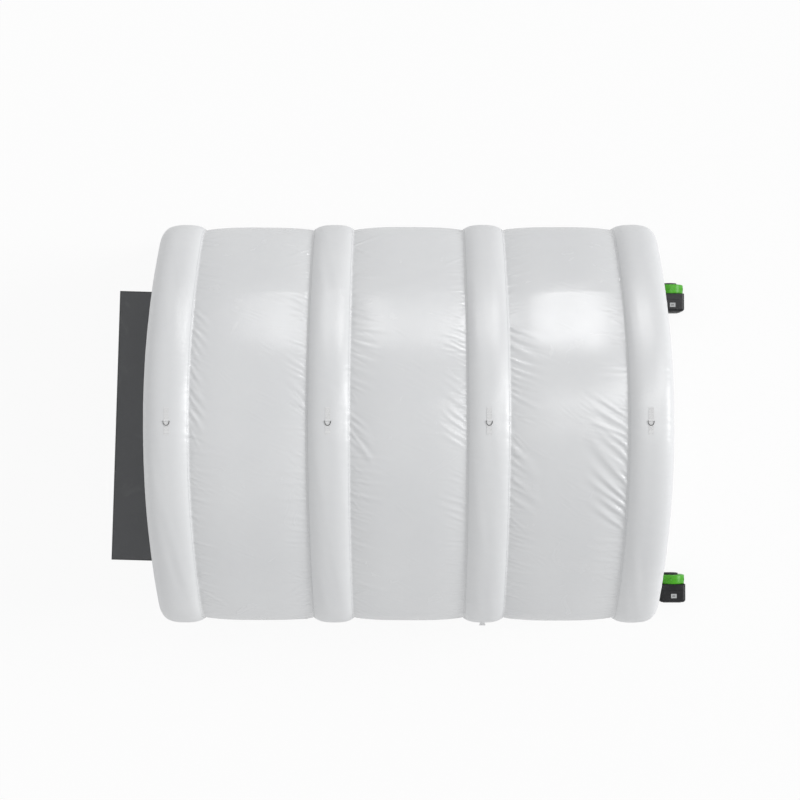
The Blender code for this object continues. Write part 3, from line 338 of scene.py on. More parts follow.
def coated_cloth(name, light, dark, roughness, threads, seam_width=None, rows=()):
    """Coated woven cloth. With a seam width, stitch rows run along both edges of the UV map."""
    made, s = new_material(name, roughness)
    place, uv, tone = coordinates(s, 0.9)
    creases = s("TexNoise", Vector=place, Scale=13.0, Detail=5.0, Roughness=0.6, Distortion=0.6)
    weave = s.group(WEAVE, Vector=uv, Threads=threads)
    colour = s.mix(tone["Tone"], dark, light)
    height = s.times_add(weave["Height"], 0.00012, s.times(creases, 0.0005))
    if seam_width:
        parts = s.split(uv)
        edge = s.math("MINIMUM", parts[0], s.minus(seam_width, parts[0]))
        for row in rows:
            stitch = s.group(STITCH, Across=edge, Along=parts[1], Row=row, Pitch=0.006)
            colour = s.mix(s.times(stitch["Thread"], 0.55), colour, (0.50, 0.51, 0.52))
            height = s.times_add(stitch["Groove"], -0.0006, height)
            height = s.times_add(stitch["Thread"], 0.0005, height)
    s.principled(Base_Color=colour, Roughness=s.times_add(tone["Scuff"], 0.12, roughness),
                 Normal=s.bump(height, 0.6))
    return made


PEARL_LIGHT = (0.82, 0.83, 0.84)
PEARL_DARK = (0.76, 0.77, 0.785)
pearl = coated_cloth("pearl_cloth", PEARL_LIGHT, PEARL_DARK, 0.34, 900.0)


def ground_tube(side):
    """Point on a ground tube for shares round it and along it, ends included."""
    cap = 0.05

    def place(u, v):
        body = np.clip((v - cap) / (1 - 2 * cap), 0, 1)
        x = LENGTH * (body - 0.5)
        end = np.clip(np.abs(v - 0.5) - (0.5 - cap), 0, cap) / cap
        turn = (2 * u - 0.5) * math.pi
        lap = 0.0012 * np.exp(-((np.abs(x) - LENGTH / 2 + 0.03) / 0.012) ** 4)
        near_end = np.exp(-((LENGTH / 2 - np.abs(x)) / 0.05) ** 2)
        pucker = 0.0022 * wander(turn * 0.22, 0.035, 11) * near_end * (end <= 0)
        slack = 0.0010 * wander(x + 0.3 * np.sin(turn), 0.23, 12) * wander(turn * 0.22 + 0.2 * x, 0.16, 13)
        radius = BASE_RADIUS - 0.001 + lap + pucker + slack
        radius = np.where(end > 0, (BASE_RADIUS - 0.001) * np.sqrt(np.clip(1 - end ** 2.2, 0, 1)), radius)
        radius = np.where(end >= 0.999, 0.0, radius)
        on_dome = (end > 0) * np.sin(math.pi * np.clip(end, 0, 1))
        wrinkle = 0.0025 * np.cos(turn * 19 + 3 * np.sin(5 * turn)) * on_dome
        dome = (BASE_DOME - 0.002) * end ** 0.8 + wrinkle
        z = np.maximum(BASE_Z + radius * np.sin(turn), 0.0)
        return np.stack([x + np.sign(v - 0.5) * dome, side * (BASE_Y + radius * np.cos(turn)), z], 1)
    return place


for side_name, side in SIDES:
    name = f"ground_tube_{side_name}"
    mesh = grid_mesh(name, 64, 420, ground_tube(side), (1.38, 5.3), closed=True)
    add_piece(name, mesh, pearl, f"base_tube_{side_name}", 50)

# Arches. Four air tubes of the same satin cloth rise from the ground tubes, run up as
# straight legs, bend round at the shoulder and meet in a low curved roof. Their outer
# side is flattened between two sewn seams, where the bays are joined on and pucker it.
HEIGHT = 3.0
ROOF_FALL = 0.343
ROOF_FLAT = 0.158
SHOULDER_RADIUS = 0.60
TUBE_WIDTH = 0.47
TUBE_CROWN = 0.1488
CROWN_POWER = 2.6
SEAM_WIDTH = 0.41
LEG_Y = WIDTH / 2 - 0.15
CROWN_Z = HEIGHT - 0.15
END_ARCH_X = (LENGTH - TUBE_WIDTH) / 2
ARCHES = ("front", "mid_front", "mid_rear", "rear")
OUTER_STEPS, INNER_STEPS = 46, 22
ARCH_STEPS = 760
FOOT_RINGS = (0.7, 0.4 / 0.7, 0.15 / 0.4)


def arch_x(index):
    return -END_ARCH_X + 2 * END_ARCH_X * index / 3


def reach_along(points):
    """Length along a line of points, up to each of them."""
    return np.concatenate([[0], np.cumsum(np.hypot(*np.diff(points, axis=0).T))])


def path_length(points):
    return float(reach_along(points)[-1])


def along_path(points, share):
    """Points at shares of the length along a line of points."""
    reach = reach_along(points)
    return np.stack([np.interp(share * reach[-1], reach, points[:, k]) for k in range(2)], 1)


def square_to(way):
    """Unit vectors square to directions in a plane, on their right."""
    return np.stack([way[:, 1], -way[:, 0]], 1) / np.hypot(*way.T)[:, None]


def shoulder_start():
    """Half width at which the roof line hands over to the shoulder bend."""
    low, high = 0.0, LEG_Y
    for _ in range(60):
        y = (low + high) / 2
        if y + SHOULDER_RADIUS * (1 - math.sin(math.atan(2 * ROOF_FALL * y))) < LEG_Y:
            low = y
        else:
            high = y
    return low


SHOULDER_Y = shoulder_start()
SHOULDER_SLOPE = math.atan(2 * ROOF_FALL * SHOULDER_Y)
SHOULDER_Z = CROWN_Z - ROOF_FALL * SHOULDER_Y ** 2
LEG_TOP = SHOULDER_Z - SHOULDER_RADIUS * math.cos(SHOULDER_SLOPE)
LEG_FOOT = 0.36


def half_line():
    """Stations y, z, normal y, normal z from the crown to a foot."""
    y = np.linspace(0, SHOULDER_Y, 500)
    root = np.sqrt(y ** 4 + ROOF_FLAT ** 4)
    slope = np.arctan(2 * ROOF_FALL * y ** 3 / root)
    roof = np.stack([y, CROWN_Z - ROOF_FALL * root, np.sin(slope), np.cos(slope)], 1)
    turn = np.linspace(SHOULDER_SLOPE, math.pi / 2, 120)[1:]
    centre_y = SHOULDER_Y - SHOULDER_RADIUS * math.sin(SHOULDER_SLOPE)
    bend = np.stack([centre_y + SHOULDER_RADIUS * np.sin(turn), LEG_TOP + SHOULDER_RADIUS * np.cos(turn),
                     np.sin(turn), np.cos(turn)], 1)
    leg = np.stack(np.broadcast_arrays(LEG_Y, np.linspace(LEG_TOP, LEG_FOOT, 200)[1:], 1.0, 0.0), 1)
    return np.concatenate([roof, bend, leg])


HALF = half_line()
LINE = np.concatenate([HALF[:0:-1] * [-1, 1, -1, 1], HALF])
STATION = reach_along(LINE[:, :2])
STATION -= STATION[-1] / 2
HALF_LENGTH = STATION[-1]
LEG_STATION = HALF_LENGTH - (LEG_TOP - LEG_FOOT)


def foot_height(y):
    """Height of the ground tube's surface under a point of a leg."""
    return BASE_Z + np.sqrt(np.clip((BASE_RADIUS + GAP) ** 2 - (np.abs(y) - BASE_Y) ** 2, 0, None))


def on_booth(x, out, station):
    """Points at x, out from the arch line, at a station from the crown that is positive on +Y."""
    y, z, normal_y, normal_z = (np.interp(station, STATION, LINE[:, k]) for k in range(4))
    length = np.hypot(normal_y, normal_z)
    y = y + out * normal_y / length
    z = z + out * normal_z / length
    down = np.clip((np.abs(station) - LEG_STATION) / (HALF_LENGTH - LEG_STATION), 0, 1)
    z = np.where(down > 0, LEG_TOP + (foot_height(y) - LEG_TOP) * down, z)
    return np.stack(np.broadcast_arrays(x, y, z), 1)


def tube_outline():
    """Section (x, out) of an arch tube, evenly spaced on its outer and on its inner half."""
    turn = np.linspace(0, math.pi, 2001)
    half, power = TUBE_WIDTH / 2, 2 / CROWN_POWER
    across = half * np.sign(np.cos(turn)) * np.abs(np.cos(turn)) ** power
    outer = np.stack([across, TUBE_CROWN * np.sin(turn) ** power], 1)
    inner = np.stack([half * np.cos(turn + math.pi), half * np.sin(turn + math.pi)], 1)
    return np.concatenate([along_path(outer, np.linspace(0, 1, OUTER_STEPS + 1))[:-1],
                           along_path(inner, np.linspace(0, 1, INNER_STEPS + 1))])


OUTLINE = tube_outline()
OUTLINE_OUT = square_to(np.gradient(OUTLINE, axis=0))
OUTLINE_OUT[0] = OUTLINE_OUT[-1] = (1, 0)


def crown_rise(x):
    """Height of a tube's outer side above its widest line."""
    share = np.clip(np.abs(2 * x / TUBE_WIDTH), 0, 1)
    return TUBE_CROWN * (1 - share ** CROWN_POWER) ** (1 / CROWN_POWER)


def pucker(station, off, seed, reach=0.045):
    """Short creases that run square to a seam and die away from it."""
    beat = wander(station, 0.032, seed) + 0.6 * wander(station, 0.017, seed + 1)
    strength = 0.55 + 0.45 * wander(station, 0.45, seed + 2)
    far = reach * (1 + 0.6 * wander(station, 0.06, seed + 3))
    return beat * strength * np.exp(-(off / far) ** 2)


def arch_push(index, x, w, station):
    """How far an arch's cloth stands out at a place (x, w) of its section: puckers and grooves
    at the seams, slow slack, fine folds, creases inside the shoulder, a hem at the feet."""
    seed = 100 * (index + 1)
    crown = 1 / (1 + np.exp(-w / 0.02))
    push = np.zeros_like(station)
    for sign, strength in ((1, 0.0026), (-1, 0.0022)):
        off = np.hypot(x - sign * SEAM_WIDTH / 2, w - crown_rise(SEAM_WIDTH / 2))
        push += strength * pucker(station, off, seed + 10 * sign + 20)
        push += 0.0009 * wander(station, 0.024, seed + sign + 80) * np.exp(-(off / 0.10) ** 2)
        push -= 0.0014 * np.exp(-(off / 0.022) ** 2)
    push += crown * 0.0016 * wander(station, 0.5, seed + 40) * wander(station * 0.7 + 5 * x, 0.33, seed + 41)
    patchy = np.clip(wander(station, 0.4, seed + 43), 0, 1)
    push += crown * 0.0006 * wander(station + 0.5 * x, 0.06, seed + 42) * patchy
    if index == 1:
        share = np.clip((1.30 - station) / 0.55, 0, 1)
        push -= crown * 0.022 * share * (1 - share) ** 2
    bend = np.exp(-((np.abs(station) - (LEG_STATION - 0.22)) / 0.30) ** 2)
    fold = np.abs(wander(station + 0.15 * np.abs(x), 0.045, seed + 50)) - 0.35
    push += (1 - crown) * bend * 0.010 * fold
    leg = np.exp(-((HALF_LENGTH - np.abs(station)) / 0.07) ** 2)
    push += leg * 0.0020 * wander(1.3 * x + 1.7 * w, 0.05, seed + 60)
    return push - 0.0015 * np.exp(-((HALF_LENGTH - np.abs(station) - 0.012) / 0.006) ** 2)


def arch_surface(index):
    """Point on an arch tube for shares round it and along it."""
    def place(u, v):
        column = np.rint(u * (OUTER_STEPS + INNER_STEPS)).astype(int)
        x, w = OUTLINE[column].T
        station = (2 * v - 1) * HALF_LENGTH
        push = arch_push(index, x, w, station)
        out_x, out_w = OUTLINE_OUT[column].T
        return on_booth(arch_x(index) + x + push * out_x, w + push * out_w, station)
    return place


def close_feet(mesh, x_centre):
    """Closes the open feet of an arch with cloth that follows the ground tube."""
    with edit(mesh) as bm:
        for sign in (-1, 1):
            rim = [edge for edge in bm.edges if edge.is_boundary and edge.verts[0].co.y * sign > 0]
            middle = Vector((x_centre, sign * (LEG_Y - 0.04)))
            for factor in FOOT_RINGS:
                grown = bmesh.ops.extrude_edge_only(bm, edges=rim)["geom"]
                rim = [item for item in grown if isinstance(item, bmesh.types.BMEdge) and item.is_boundary]
                for vert in {vert for edge in rim for vert in edge.verts}:
                    vert.co.xy = middle + (vert.co.xy - middle) * factor
                    vert.co.z = foot_height(vert.co.y)
            bmesh.ops.holes_fill(bm, edges=rim, sides=0)
        bmesh.ops.triangulate(bm, faces=[face for face in bm.faces if len(face.verts) > 4])
        bmesh.ops.recalc_face_normals(bm, faces=bm.faces)


for index, arch in enumerate(ARCHES):
    mesh = grid_mesh(f"air_arch_{arch}", OUTER_STEPS + INNER_STEPS, ARCH_STEPS, arch_surface(index),
                     (path_length(OUTLINE), 2 * HALF_LENGTH))
    close_feet(mesh, arch_x(index))
    add_piece(f"air_arch_{arch}", mesh, pearl, f"arch_{arch}", 60)

# Bays. One sheet of the same cloth spans each pair of arches from ground to ground. It is
# lapped on to the tubes and sewn with two rows, and it is drawn into slanting wrinkles
# from the seams, because the arches pull it tight only in the middle.
BAYS = ("front", "middle", "rear")
BAY_SEEDS = {"front": (5, 610), "middle": (6, 640), "rear": (7, 670)}
PANEL_WIDTH = 2 * END_ARCH_X / 3 - SEAM_WIDTH
PANEL_BULGE = 0.035
FOLD_SCALE = 0.95
SEAM_OUT = float(crown_rise(SEAM_WIDTH / 2))
LAP = 0.016
LAP_SKIN = 0.0016
SHEET_WIDTH = PANEL_WIDTH + 2 * LAP
BAY_FLAT = (SHEET_WIDTH, 2 * HALF_LENGTH)

# Each row: seam side, first and last station from the crown, angle from straight across,
# curl, how many, shortest and longest, height. A positive angle slants down to the right.
FOLDS = {
    "front": (
        ("L", 1.75, 1.22, 17, 0.2, 5, 0.34, 0.50, 0.0045), ("L", 1.12, 0.05, 50, -0.35, 11, 0.20, 0.36, 0.0046),
        ("L", -0.10, -1.70, 12, 0.3, 7, 0.16, 0.34, 0.0030), ("R", 1.14, 0.90, 25, 0.0, 3, 0.20, 0.30, 0.0040),
        ("R", 0.50, 0.10, 25, 0.4, 4, 0.20, 0.30, 0.0042), ("R", -0.34, -1.27, 4, 0.0, 6, 0.22, 0.34, 0.0036),
        ("R", -1.50, -1.86, -9, 0.0, 3, 0.24, 0.36, 0.0036)),
    "middle": (
        ("L", 1.98, 1.50, 4, 0.0, 4, 0.30, 0.46, 0.0040), ("L", 1.10, 0.30, 21, 0.3, 6, 0.26, 0.40, 0.0046),
        ("L", 0.11, -0.20, 38, -0.35, 4, 0.26, 0.36, 0.0050), ("L", -0.30, -0.32, 1, 0.0, 1, 0.40, 0.44, 0.0040),
        ("L", -0.38, -0.73, 9, 0.0, 3, 0.28, 0.40, 0.0040), ("L", -0.95, -1.80, 14, 0.0, 5, 0.18, 0.34, 0.0032),
        ("R", 1.62, 1.44, 1, 0.0, 2, 0.22, 0.34, 0.0036), ("R", 0.78, 0.57, 26, 0.0, 2, 0.24, 0.34, 0.0030),
        ("R", 0.36, 0.10, 26, 0.3, 3, 0.22, 0.32, 0.0032), ("R", 0.02, -0.30, 28, 0.3, 4, 0.22, 0.34, 0.0036),
        ("R", -0.73, -0.98, 22, 0.0, 3, 0.22, 0.34, 0.0042), ("R", -1.12, -1.27, 1, 0.0, 2, 0.24, 0.34, 0.0036)),
    "rear": (
        ("L", 2.12, 1.46, -17, 0.2, 5, 0.28, 0.42, 0.0046), ("L", 0.92, 0.68, 28, 0.0, 3, 0.34, 0.46, 0.0056),
        ("L", 0.60, 0.22, 27, 0.3, 5, 0.32, 0.44, 0.0054), ("L", -0.20, -0.56, 35, -0.1, 4, 0.30, 0.42, 0.0060),
        ("L", -0.54, -0.74, 27, 0.0, 2, 0.30, 0.38, 0.0045), ("L", -1.00, -1.80, 12, 0.0, 5, 0.18, 0.34, 0.0032),
        ("R", 0.50, 0.38, 3, 0.0, 2, 0.34, 0.44, 0.0040), ("R", 0.06, -0.18, 26, 0.0, 3, 0.44, 0.54, 0.0050),
        ("R", -0.20, -1.08, 40, 0.05, 8, 0.34, 0.56, 0.0105), ("R", -1.12, -1.62, 4, 0.0, 4, 0.30, 0.44, 0.0045)),
}

# Where a bay is pulled straight towards its seams: upper end, length, depth, and the share
# of the width over which it sets in. The middle bay is flatter by its right seam instead.
PULLED = {"front": (1.29, 0.8, 0.009, -0.15, 0.35), "middle": None, "rear": (1.29, 0.9, 0.0125, -0.48, -0.05)}


def fold(start_x, start, way, turn, *rest):
    """One fold: x from the bay's middle, station, direction, curl, length, half width, height."""
    return (start_x, start, way * math.cos(turn), -way * math.sin(turn), *rest)


def calm(station, high, shoulder, low):
    """The cloth's slack from the left shoulder, where it is pulled flat, down the right side."""
    return high if station > 1.25 else shoulder if station > 0.35 else low


def fold_table(bay):
    """Folds of one bay: those of its table, creases at the feet, short ones at the seams, and
    fans of faint lines in the open cloth."""
    random = np.random.RandomState(BAY_SEEDS[bay][0])
    seam_x = PANEL_WIDTH / 2
    rows = []
    for seam, first, last, angle, curl, count, short, long, height in FOLDS[bay]:
        for k in range(count):
            share = (k + 0.5 + random.uniform(-0.25, 0.25)) / count
            station = first + (last - first) * share
            turn = math.radians(angle + random.uniform(-6, 6))
            way = 1 if seam == "L" else -1
            rows.append(fold(-way * seam_x, station, way, turn, way * curl, random.uniform(short, long),
                             random.uniform(0.011, 0.018) * (1.8 if height > 0.0055 else 1.1),
                             calm(station, 0.45, 0.95, 1.35) * height * random.uniform(0.75, 1.15)))
    for k in range(64):
        way = 1 if k % 2 else -1
        station = random.choice([-1, 1]) * random.uniform(1.7, HALF_LENGTH - 0.05)
        turn = math.radians(random.uniform(-38, 38))
        rows.append(fold(-way * seam_x, station, way, turn, random.uniform(-0.6, 0.6), random.uniform(0.12, 0.36),
                         random.uniform(0.009, 0.016), random.uniform(0.0020, 0.0045)))
    for k in range(300):
        way = 1 if k % 2 else -1
        station = random.uniform(-2.6, 2.6)
        turn = math.radians(random.normal(22 * math.exp(-(station / 1.3) ** 2), 13))
        rows.append(fold(-way * seam_x, station, way, turn, random.uniform(-0.8, 0.8), random.uniform(0.05, 0.30),
                         random.uniform(0.0060, 0.011),
                         calm(station, 0.5, 0.9, 1.5) * random.uniform(0.0010, 0.0024)))
    for k in range(60):
        start_x, start = random.uniform(-0.5, 0.3) * PANEL_WIDTH, random.uniform(-2.2, 2.2)
        angle = random.normal(24, 9)
        for line in range(random.randint(2, 5)):
            turn = math.radians(angle + random.uniform(-4, 4))
            rows.append(fold(start_x + random.uniform(-0.03, 0.03), start - 0.028 * line, 1, turn,
                             random.uniform(-0.4, 0.4), random.uniform(0.12, 0.34), random.uniform(0.006, 0.011),
                             random.uniform(0.0003, 0.0009)))
    return rows


def fold_height(x, station, rows):
    """Height of all folds at the given places."""
    total = np.zeros_like(x)
    for start_x, start, way_x, way_s, curl, length, half, height in rows:
        near = np.flatnonzero(np.abs(station - start) < length + 4 * half)
        dx, ds = x[near] - start_x, station[near] - start
        along = dx * way_x + ds * way_s
        across = ds * way_x - dx * way_s - curl * along * np.abs(along)
        share = np.clip(along / length, 0, 1)
        body = (1 - share ** 2) ** 1.5 * np.clip(1 + along / 0.04, 0, 1)
        spread = half * (0.75 + 0.8 * share)
        beside = np.exp(-((np.abs(across) - 2.1 * spread) / (1.1 * spread)) ** 2)
        total[near] += height * body * (np.exp(-(across / spread) ** 2) - 0.45 * beside)
    return total


def lap_out(bay, x, beyond, station):
    """Distance of a bay's lap from the arch line: on the arch's puckered cloth, past the seam."""
    on_arch = SEAM_WIDTH / 2 - beyond
    rise = crown_rise(on_arch)
    tilt = np.hypot(1, (crown_rise(on_arch - 0.001) - rise) / 0.001)
    out = np.zeros_like(x)
    for index, sign in ((BAYS.index(bay), 1), (BAYS.index(bay) + 1, -1)):
        here = x * sign < 0
        push = arch_push(index, sign * on_arch[here], rise[here], station[here])
        out[here] = rise[here] + tilt[here] * (push + LAP_SKIN)
    return out


def panel_out(bay, x, station, rows):
    """Distance of a bay's cloth from the arch line; x from the bay's middle."""
    share = x / PANEL_WIDTH
    bulge = 1 - np.abs(2 * np.clip(share + 0.5, 0, 1) - 1) ** 3.2
    if bay == "middle":
        bulge *= 1 - 0.6 * np.exp(-((station - 1.05) / 0.8) ** 2) * ease(np.clip((share + 0.2) / 0.6, 0, 1))
    edge = PANEL_WIDTH / 2 - np.abs(x)
    seed = BAY_SEEDS[bay][1]
    out = SEAM_OUT + LAP_SKIN + (PANEL_BULGE - 0.004) * bulge
    out += FOLD_SCALE * fold_height(x, station, rows) * (0.35 + 0.65 * np.clip(edge / 0.035, 0, 1))
    for sign, offset in ((-1, 0), (1, 10)):
        off = np.abs(x - sign * PANEL_WIDTH / 2)
        out += 0.0034 * pucker(station, off, seed + offset, reach=0.06) * (0.3 + 0.7 * np.clip(edge / 0.025, 0, 1))
    out += bulge * 0.0035 * wander(station + 0.2 * x, 0.62, seed + 20)
    out += bulge * 0.0012 * wander(station - 0.35 * x, 0.14, seed + 21)
    if PULLED[bay]:
        line, reach, depth, first, last = PULLED[bay]
        down = np.clip((line + 0.012 * np.sin(6 * x) - station) / reach, 0, 1)
        set_in = ease(np.clip((share - first) / (last - first), 0, 1))
        out -= 6.75 * depth * down * (1 - down) ** 2 * bulge ** 0.5 * set_in
    lap = lap_out(bay, x, np.clip(-edge, 0, None), station)
    out += (lap - SEAM_OUT - LAP_SKIN) * np.exp(-(edge / 0.03) ** 2)
    return np.where(edge < 0, lap, out)


def bay_surface(bay):
    """Point on a bay for shares across it and along it."""
    index = BAYS.index(bay)
    centre = (arch_x(index) + arch_x(index + 1)) / 2
    rows = fold_table(bay)

    def place(u, v):
        x, station = (u - 0.5) * SHEET_WIDTH, (2 * v - 1) * HALF_LENGTH
        return on_booth(centre + x, panel_out(bay, x, station, rows), station)
    return place


def add_bay(bay, mesh):
    """A bay's sheet between its two arches, in the bay cloth, in place of its CAD panel."""
    sheet = add_piece(f"bay_{bay}", mesh, bay_cloth, f"bay_panel_{bay}")


bay_cloth = coated_cloth("bay_cloth", PEARL_LIGHT, PEARL_DARK, 0.24, 900.0, SHEET_WIDTH, (0.005, 0.012))
bay_places = {bay: bay_surface(bay) for bay in BAYS}
bay_meshes = {bay: grid_mesh(f"bay_{bay}", 140, 640, bay_places[bay], BAY_FLAT, faces_up=(0, 0, 1))
              for bay in BAYS}
add_bay("front", bay_meshes["front"])
add_bay("rear", bay_meshes["rear"])

# Side windows. The middle bay has a clear vinyl pane on each side, set into a hole with
# rounded corners and held by a sewn binding tape inside and out.
WINDOW_LENGTH = 0.70
WINDOW_HEIGHT = 0.55
WINDOW_CORNER = 0.08
WINDOW_Z = 0.78 + WINDOW_HEIGHT / 2
PANE_LENGTH, PANE_HEIGHT = WINDOW_LENGTH + 0.012, WINDOW_HEIGHT + 0.012
PANE_LIFT = -0.0008
BINDING = 0.034
BINDING_LIFTS = (("outer", 0.0008), ("inner", -0.0016))
ROUND_STEPS = 4000


def rounded_distance(a, b, width, height, radius):
    """Signed distance of (a, b) from a rounded rectangle about the origin."""
    qa, qb = np.abs(a) - width / 2 + radius, np.abs(b) - height / 2 + radius
    return np.hypot(np.clip(qa, 0, None), np.clip(qb, 0, None)) + np.minimum(np.maximum(qa, qb), 0) - radius


def cut_hole(mesh, inside):
    """Deletes the faces whose middles lie inside a hole, given as a test of points."""
    with edit(mesh) as bm:
        middles = np.array([face.calc_center_median() for face in bm.faces])
        bm.faces.ensure_lookup_table()
        gone = [bm.faces[k] for k in np.flatnonzero(inside(middles))]
        bmesh.ops.delete(bm, geom=gone, context="FACES")
    return mesh


def rounded_path(width, height, radius, count):
    """Evenly spaced points round a rounded rectangle, from the lower end of its straight right
    side, and the length round it."""
    flat_a, flat_b, arc = width - 2 * radius, height - 2 * radius, math.pi * radius / 2
    total = 2 * (flat_a + flat_b) + 4 * arc
    s = np.linspace(0, total, count, endpoint=False)
    points = np.zeros((count, 2))
    done = 0.0
    corners = (((0, 1), (1, 1)), ((-1, 0), (-1, 1)), ((0, -1), (-1, -1)), ((1, 0), (1, -1)))
    for k, (way, corner) in enumerate(corners):
        centre = np.array(corner) * (flat_a / 2, flat_b / 2)
        run = flat_a if k % 2 else flat_b
        start = centre + radius * np.array((way[1], -way[0])) - run * np.array(way)
        on = (s >= done) & (s < done + run)
        points[on] = start + (s[on] - done)[:, None] * way
        done += run
        on = (s >= done) & (s < done + arc)
        turn = math.pi / 2 * k + (s[on] - done) / radius
        points[on] = centre + radius * np.stack([np.cos(turn), np.sin(turn)], 1)
        done += arc
    return points, total


def leg_surface(x, z, side, lift):
    """Point on the middle bay's side wall at a place (x, z), lifted off the cloth."""
    foot = 0.30
    for _ in range(3):
        station = side * (LEG_STATION + (LEG_TOP - z) / (LEG_TOP - foot) * (HALF_LENGTH - LEG_STATION))
        points = bay_places["middle"](x / SHEET_WIDTH + 0.5, (station / HALF_LENGTH + 1) / 2)
        foot = foot_height(points[:, 1])
    points[:, 1] += side * lift
    return points


def side_binding(side, lift):
    """Binding tape round a window, as a grid: shares across the tape and round the hole."""
    path, total = rounded_path(WINDOW_LENGTH, WINDOW_HEIGHT, WINDOW_CORNER, ROUND_STEPS)

    def place(u, v):
        at = (v * ROUND_STEPS) % ROUND_STEPS
        low = np.floor(at).astype(int) % ROUND_STEPS
        base = path[low] + (path[(low + 1) % ROUND_STEPS] - path[low]) * (at - np.floor(at))[:, None]
        outward = square_to(path[(low + 3) % ROUND_STEPS] - path[(low - 3) % ROUND_STEPS])
        flat = base + outward * (u - 0.38)[:, None] * BINDING
        rise = 0.0012 * (1 - (2 * u - 1) ** 4) + 0.0004 * wander(v * total, 0.04, 71)
        return leg_surface(flat[:, 0], WINDOW_Z + flat[:, 1], side, lift + math.copysign(1, lift) * rise)
    return place


def window_pane(side):
    """Point on a pane, which is flatter than the bay's cloth and faintly rippled."""
    def place(u, v):
        a, b = (u - 0.5) * PANE_LENGTH, (v - 0.5) * PANE_HEIGHT
        pull = 0.72 * np.clip(rounded_distance(a, b, PANE_LENGTH, PANE_HEIGHT, WINDOW_CORNER), 0, None)
        a = a - np.sign(a) * pull
        b = b - np.sign(b) * pull
        ripple = 0.0025 * wander(a + 0.4 * b, 0.11, 81) * wander(b, 0.16, 82)
        points = leg_surface(a, WINDOW_Z + b, side, PANE_LIFT)
        station = LEG_STATION + (LEG_TOP - WINDOW_Z - b) * 0.94
        smooth = on_booth(a, SEAM_OUT + PANEL_BULGE * 0.88, side * station)
        points[:, 1] = points[:, 1] * 0.25 + 0.75 * smooth[:, 1] + side * ripple
        return points
    return place


def in_windows(middles):
    """Test for the faces of the middle bay inside the two window holes."""
    window = rounded_distance(middles[:, 0], middles[:, 2] - WINDOW_Z, WINDOW_LENGTH, WINDOW_HEIGHT, WINDOW_CORNER)
    return (np.abs(middles[:, 1]) > 1.5) & (window < -0.002)


add_bay("middle", cut_hole(bay_meshes["middle"], in_windows))

vinyl, s = new_material("clear_vinyl", 0.08, Transmission_Weight=0.0, IOR=1.45)
place, uv, tone = coordinates(s, 2.2)
s.principled(Base_Color=s.mix(tone["Tone"], (0.70, 0.76, 0.79), (0.80, 0.85, 0.87)),
             Roughness=s.times_add(tone["Scuff"], 0.25, 0.08), Alpha=s.times_add(tone["Tone"], 0.14, 0.24),
             Normal=s.bump(s("TexNoise", Vector=place, Scale=9.0, Detail=2.0), 0.4, 0.004))
binding_cloth = coated_cloth("binding_tape", (0.70, 0.71, 0.72), (0.62, 0.63, 0.645), 0.6, 500.0, BINDING,
                             (0.004, 0.008))
ROUND_WINDOW = 2 * (WINDOW_LENGTH + WINDOW_HEIGHT) - (8 - 2 * math.pi) * WINDOW_CORNER
for side_name, side in SIDES:
    name = f"window_pane_{side_name}"
    mesh = grid_mesh(name, 44, 36, window_pane(side), (WINDOW_LENGTH, WINDOW_HEIGHT), faces_up=(0, side, 0))
    pane = add_piece(name, mesh, vinyl, f"window_{side_name}")
    for face, lift in BINDING_LIFTS:
        name = f"window_binding_{face}_{side_name}"
        mesh = grid_mesh(name, 8, 300, side_binding(side, lift), (BINDING, ROUND_WINDOW),
                         faces_up=(0, side * lift, 0))
        tape = add_piece(name, mesh, binding_cloth)

# End walls. A flat sheet of lighter coated cloth closes each end and is sewn into the inner
# side of its arch. The front one has the doorway, the rear one two exhaust windows and the
# round supply port, and folded tape binds every raw edge.
DOOR_WIDTH = 2.4
DOOR_HEIGHT = 2.12
DOOR_CORNER_ACROSS = 0.50
DOOR_CORNER_DOWN = 0.62
WALL_SKIN = 0.004
MAT_SKIN = 0.005
WALL_HEM = MAT_SKIN + GAP
WALL_REACH = -0.2238
WALL_HALF = LEG_Y + WALL_REACH
TAPE_LIFT = 0.0013
FILTER_SIZE = 0.80
FILTER_WINDOW = 0.70
FILTER_SPACING = 1.24
FILTER_HEIGHT = 0.85
PORT_PLACE = (1.46, 0.150)
PORT_SIZE = 0.076

wall_cloth = coated_cloth("wall_cloth", (0.76, 0.77, 0.78), (0.68, 0.69, 0.70), 0.55, 700.0)
dark_binding = coated_cloth("dark_binding", (0.34, 0.345, 0.35), (0.27, 0.275, 0.28), 0.65, 500.0, 0.05, (0.004,))


def beside_tube(z):
    """How far out an end wall can reach at a height, beside the ground tube."""
    return BASE_Y - np.sqrt(np.clip((BASE_RADIUS + GAP) ** 2 - (z - BASE_Z) ** 2, 0, None))


def wall_outline():
    """Outer edge (y, z) of an end wall, from the right foot over the roof to the left foot."""
    points = on_booth(0.0, WALL_REACH, np.linspace(-HALF_LENGTH, HALF_LENGTH, 900))[:, 1:]
    z = np.linspace(points[-1, 1], WALL_HEM, 60)
    foot = np.stack([np.minimum(WALL_HALF, beside_tube(z)), z], 1)
    return np.concatenate([foot[::-1] * [-1, 1], points, foot])


def door_outline():
    """Doorway edge (y, z) from the right foot over the head to the left foot."""
    turn = np.linspace(0, math.pi / 2, 60)
    corner = np.stack([DOOR_WIDTH / 2 - DOOR_CORNER_ACROSS + DOOR_CORNER_ACROSS * np.cos(turn),
                       DOOR_HEIGHT - DOOR_CORNER_DOWN + DOOR_CORNER_DOWN * np.sin(turn)], 1)
    half = np.concatenate([[[DOOR_WIDTH / 2, WALL_HEM]], corner])
    return np.concatenate([half * [-1, 1], half[::-1]])


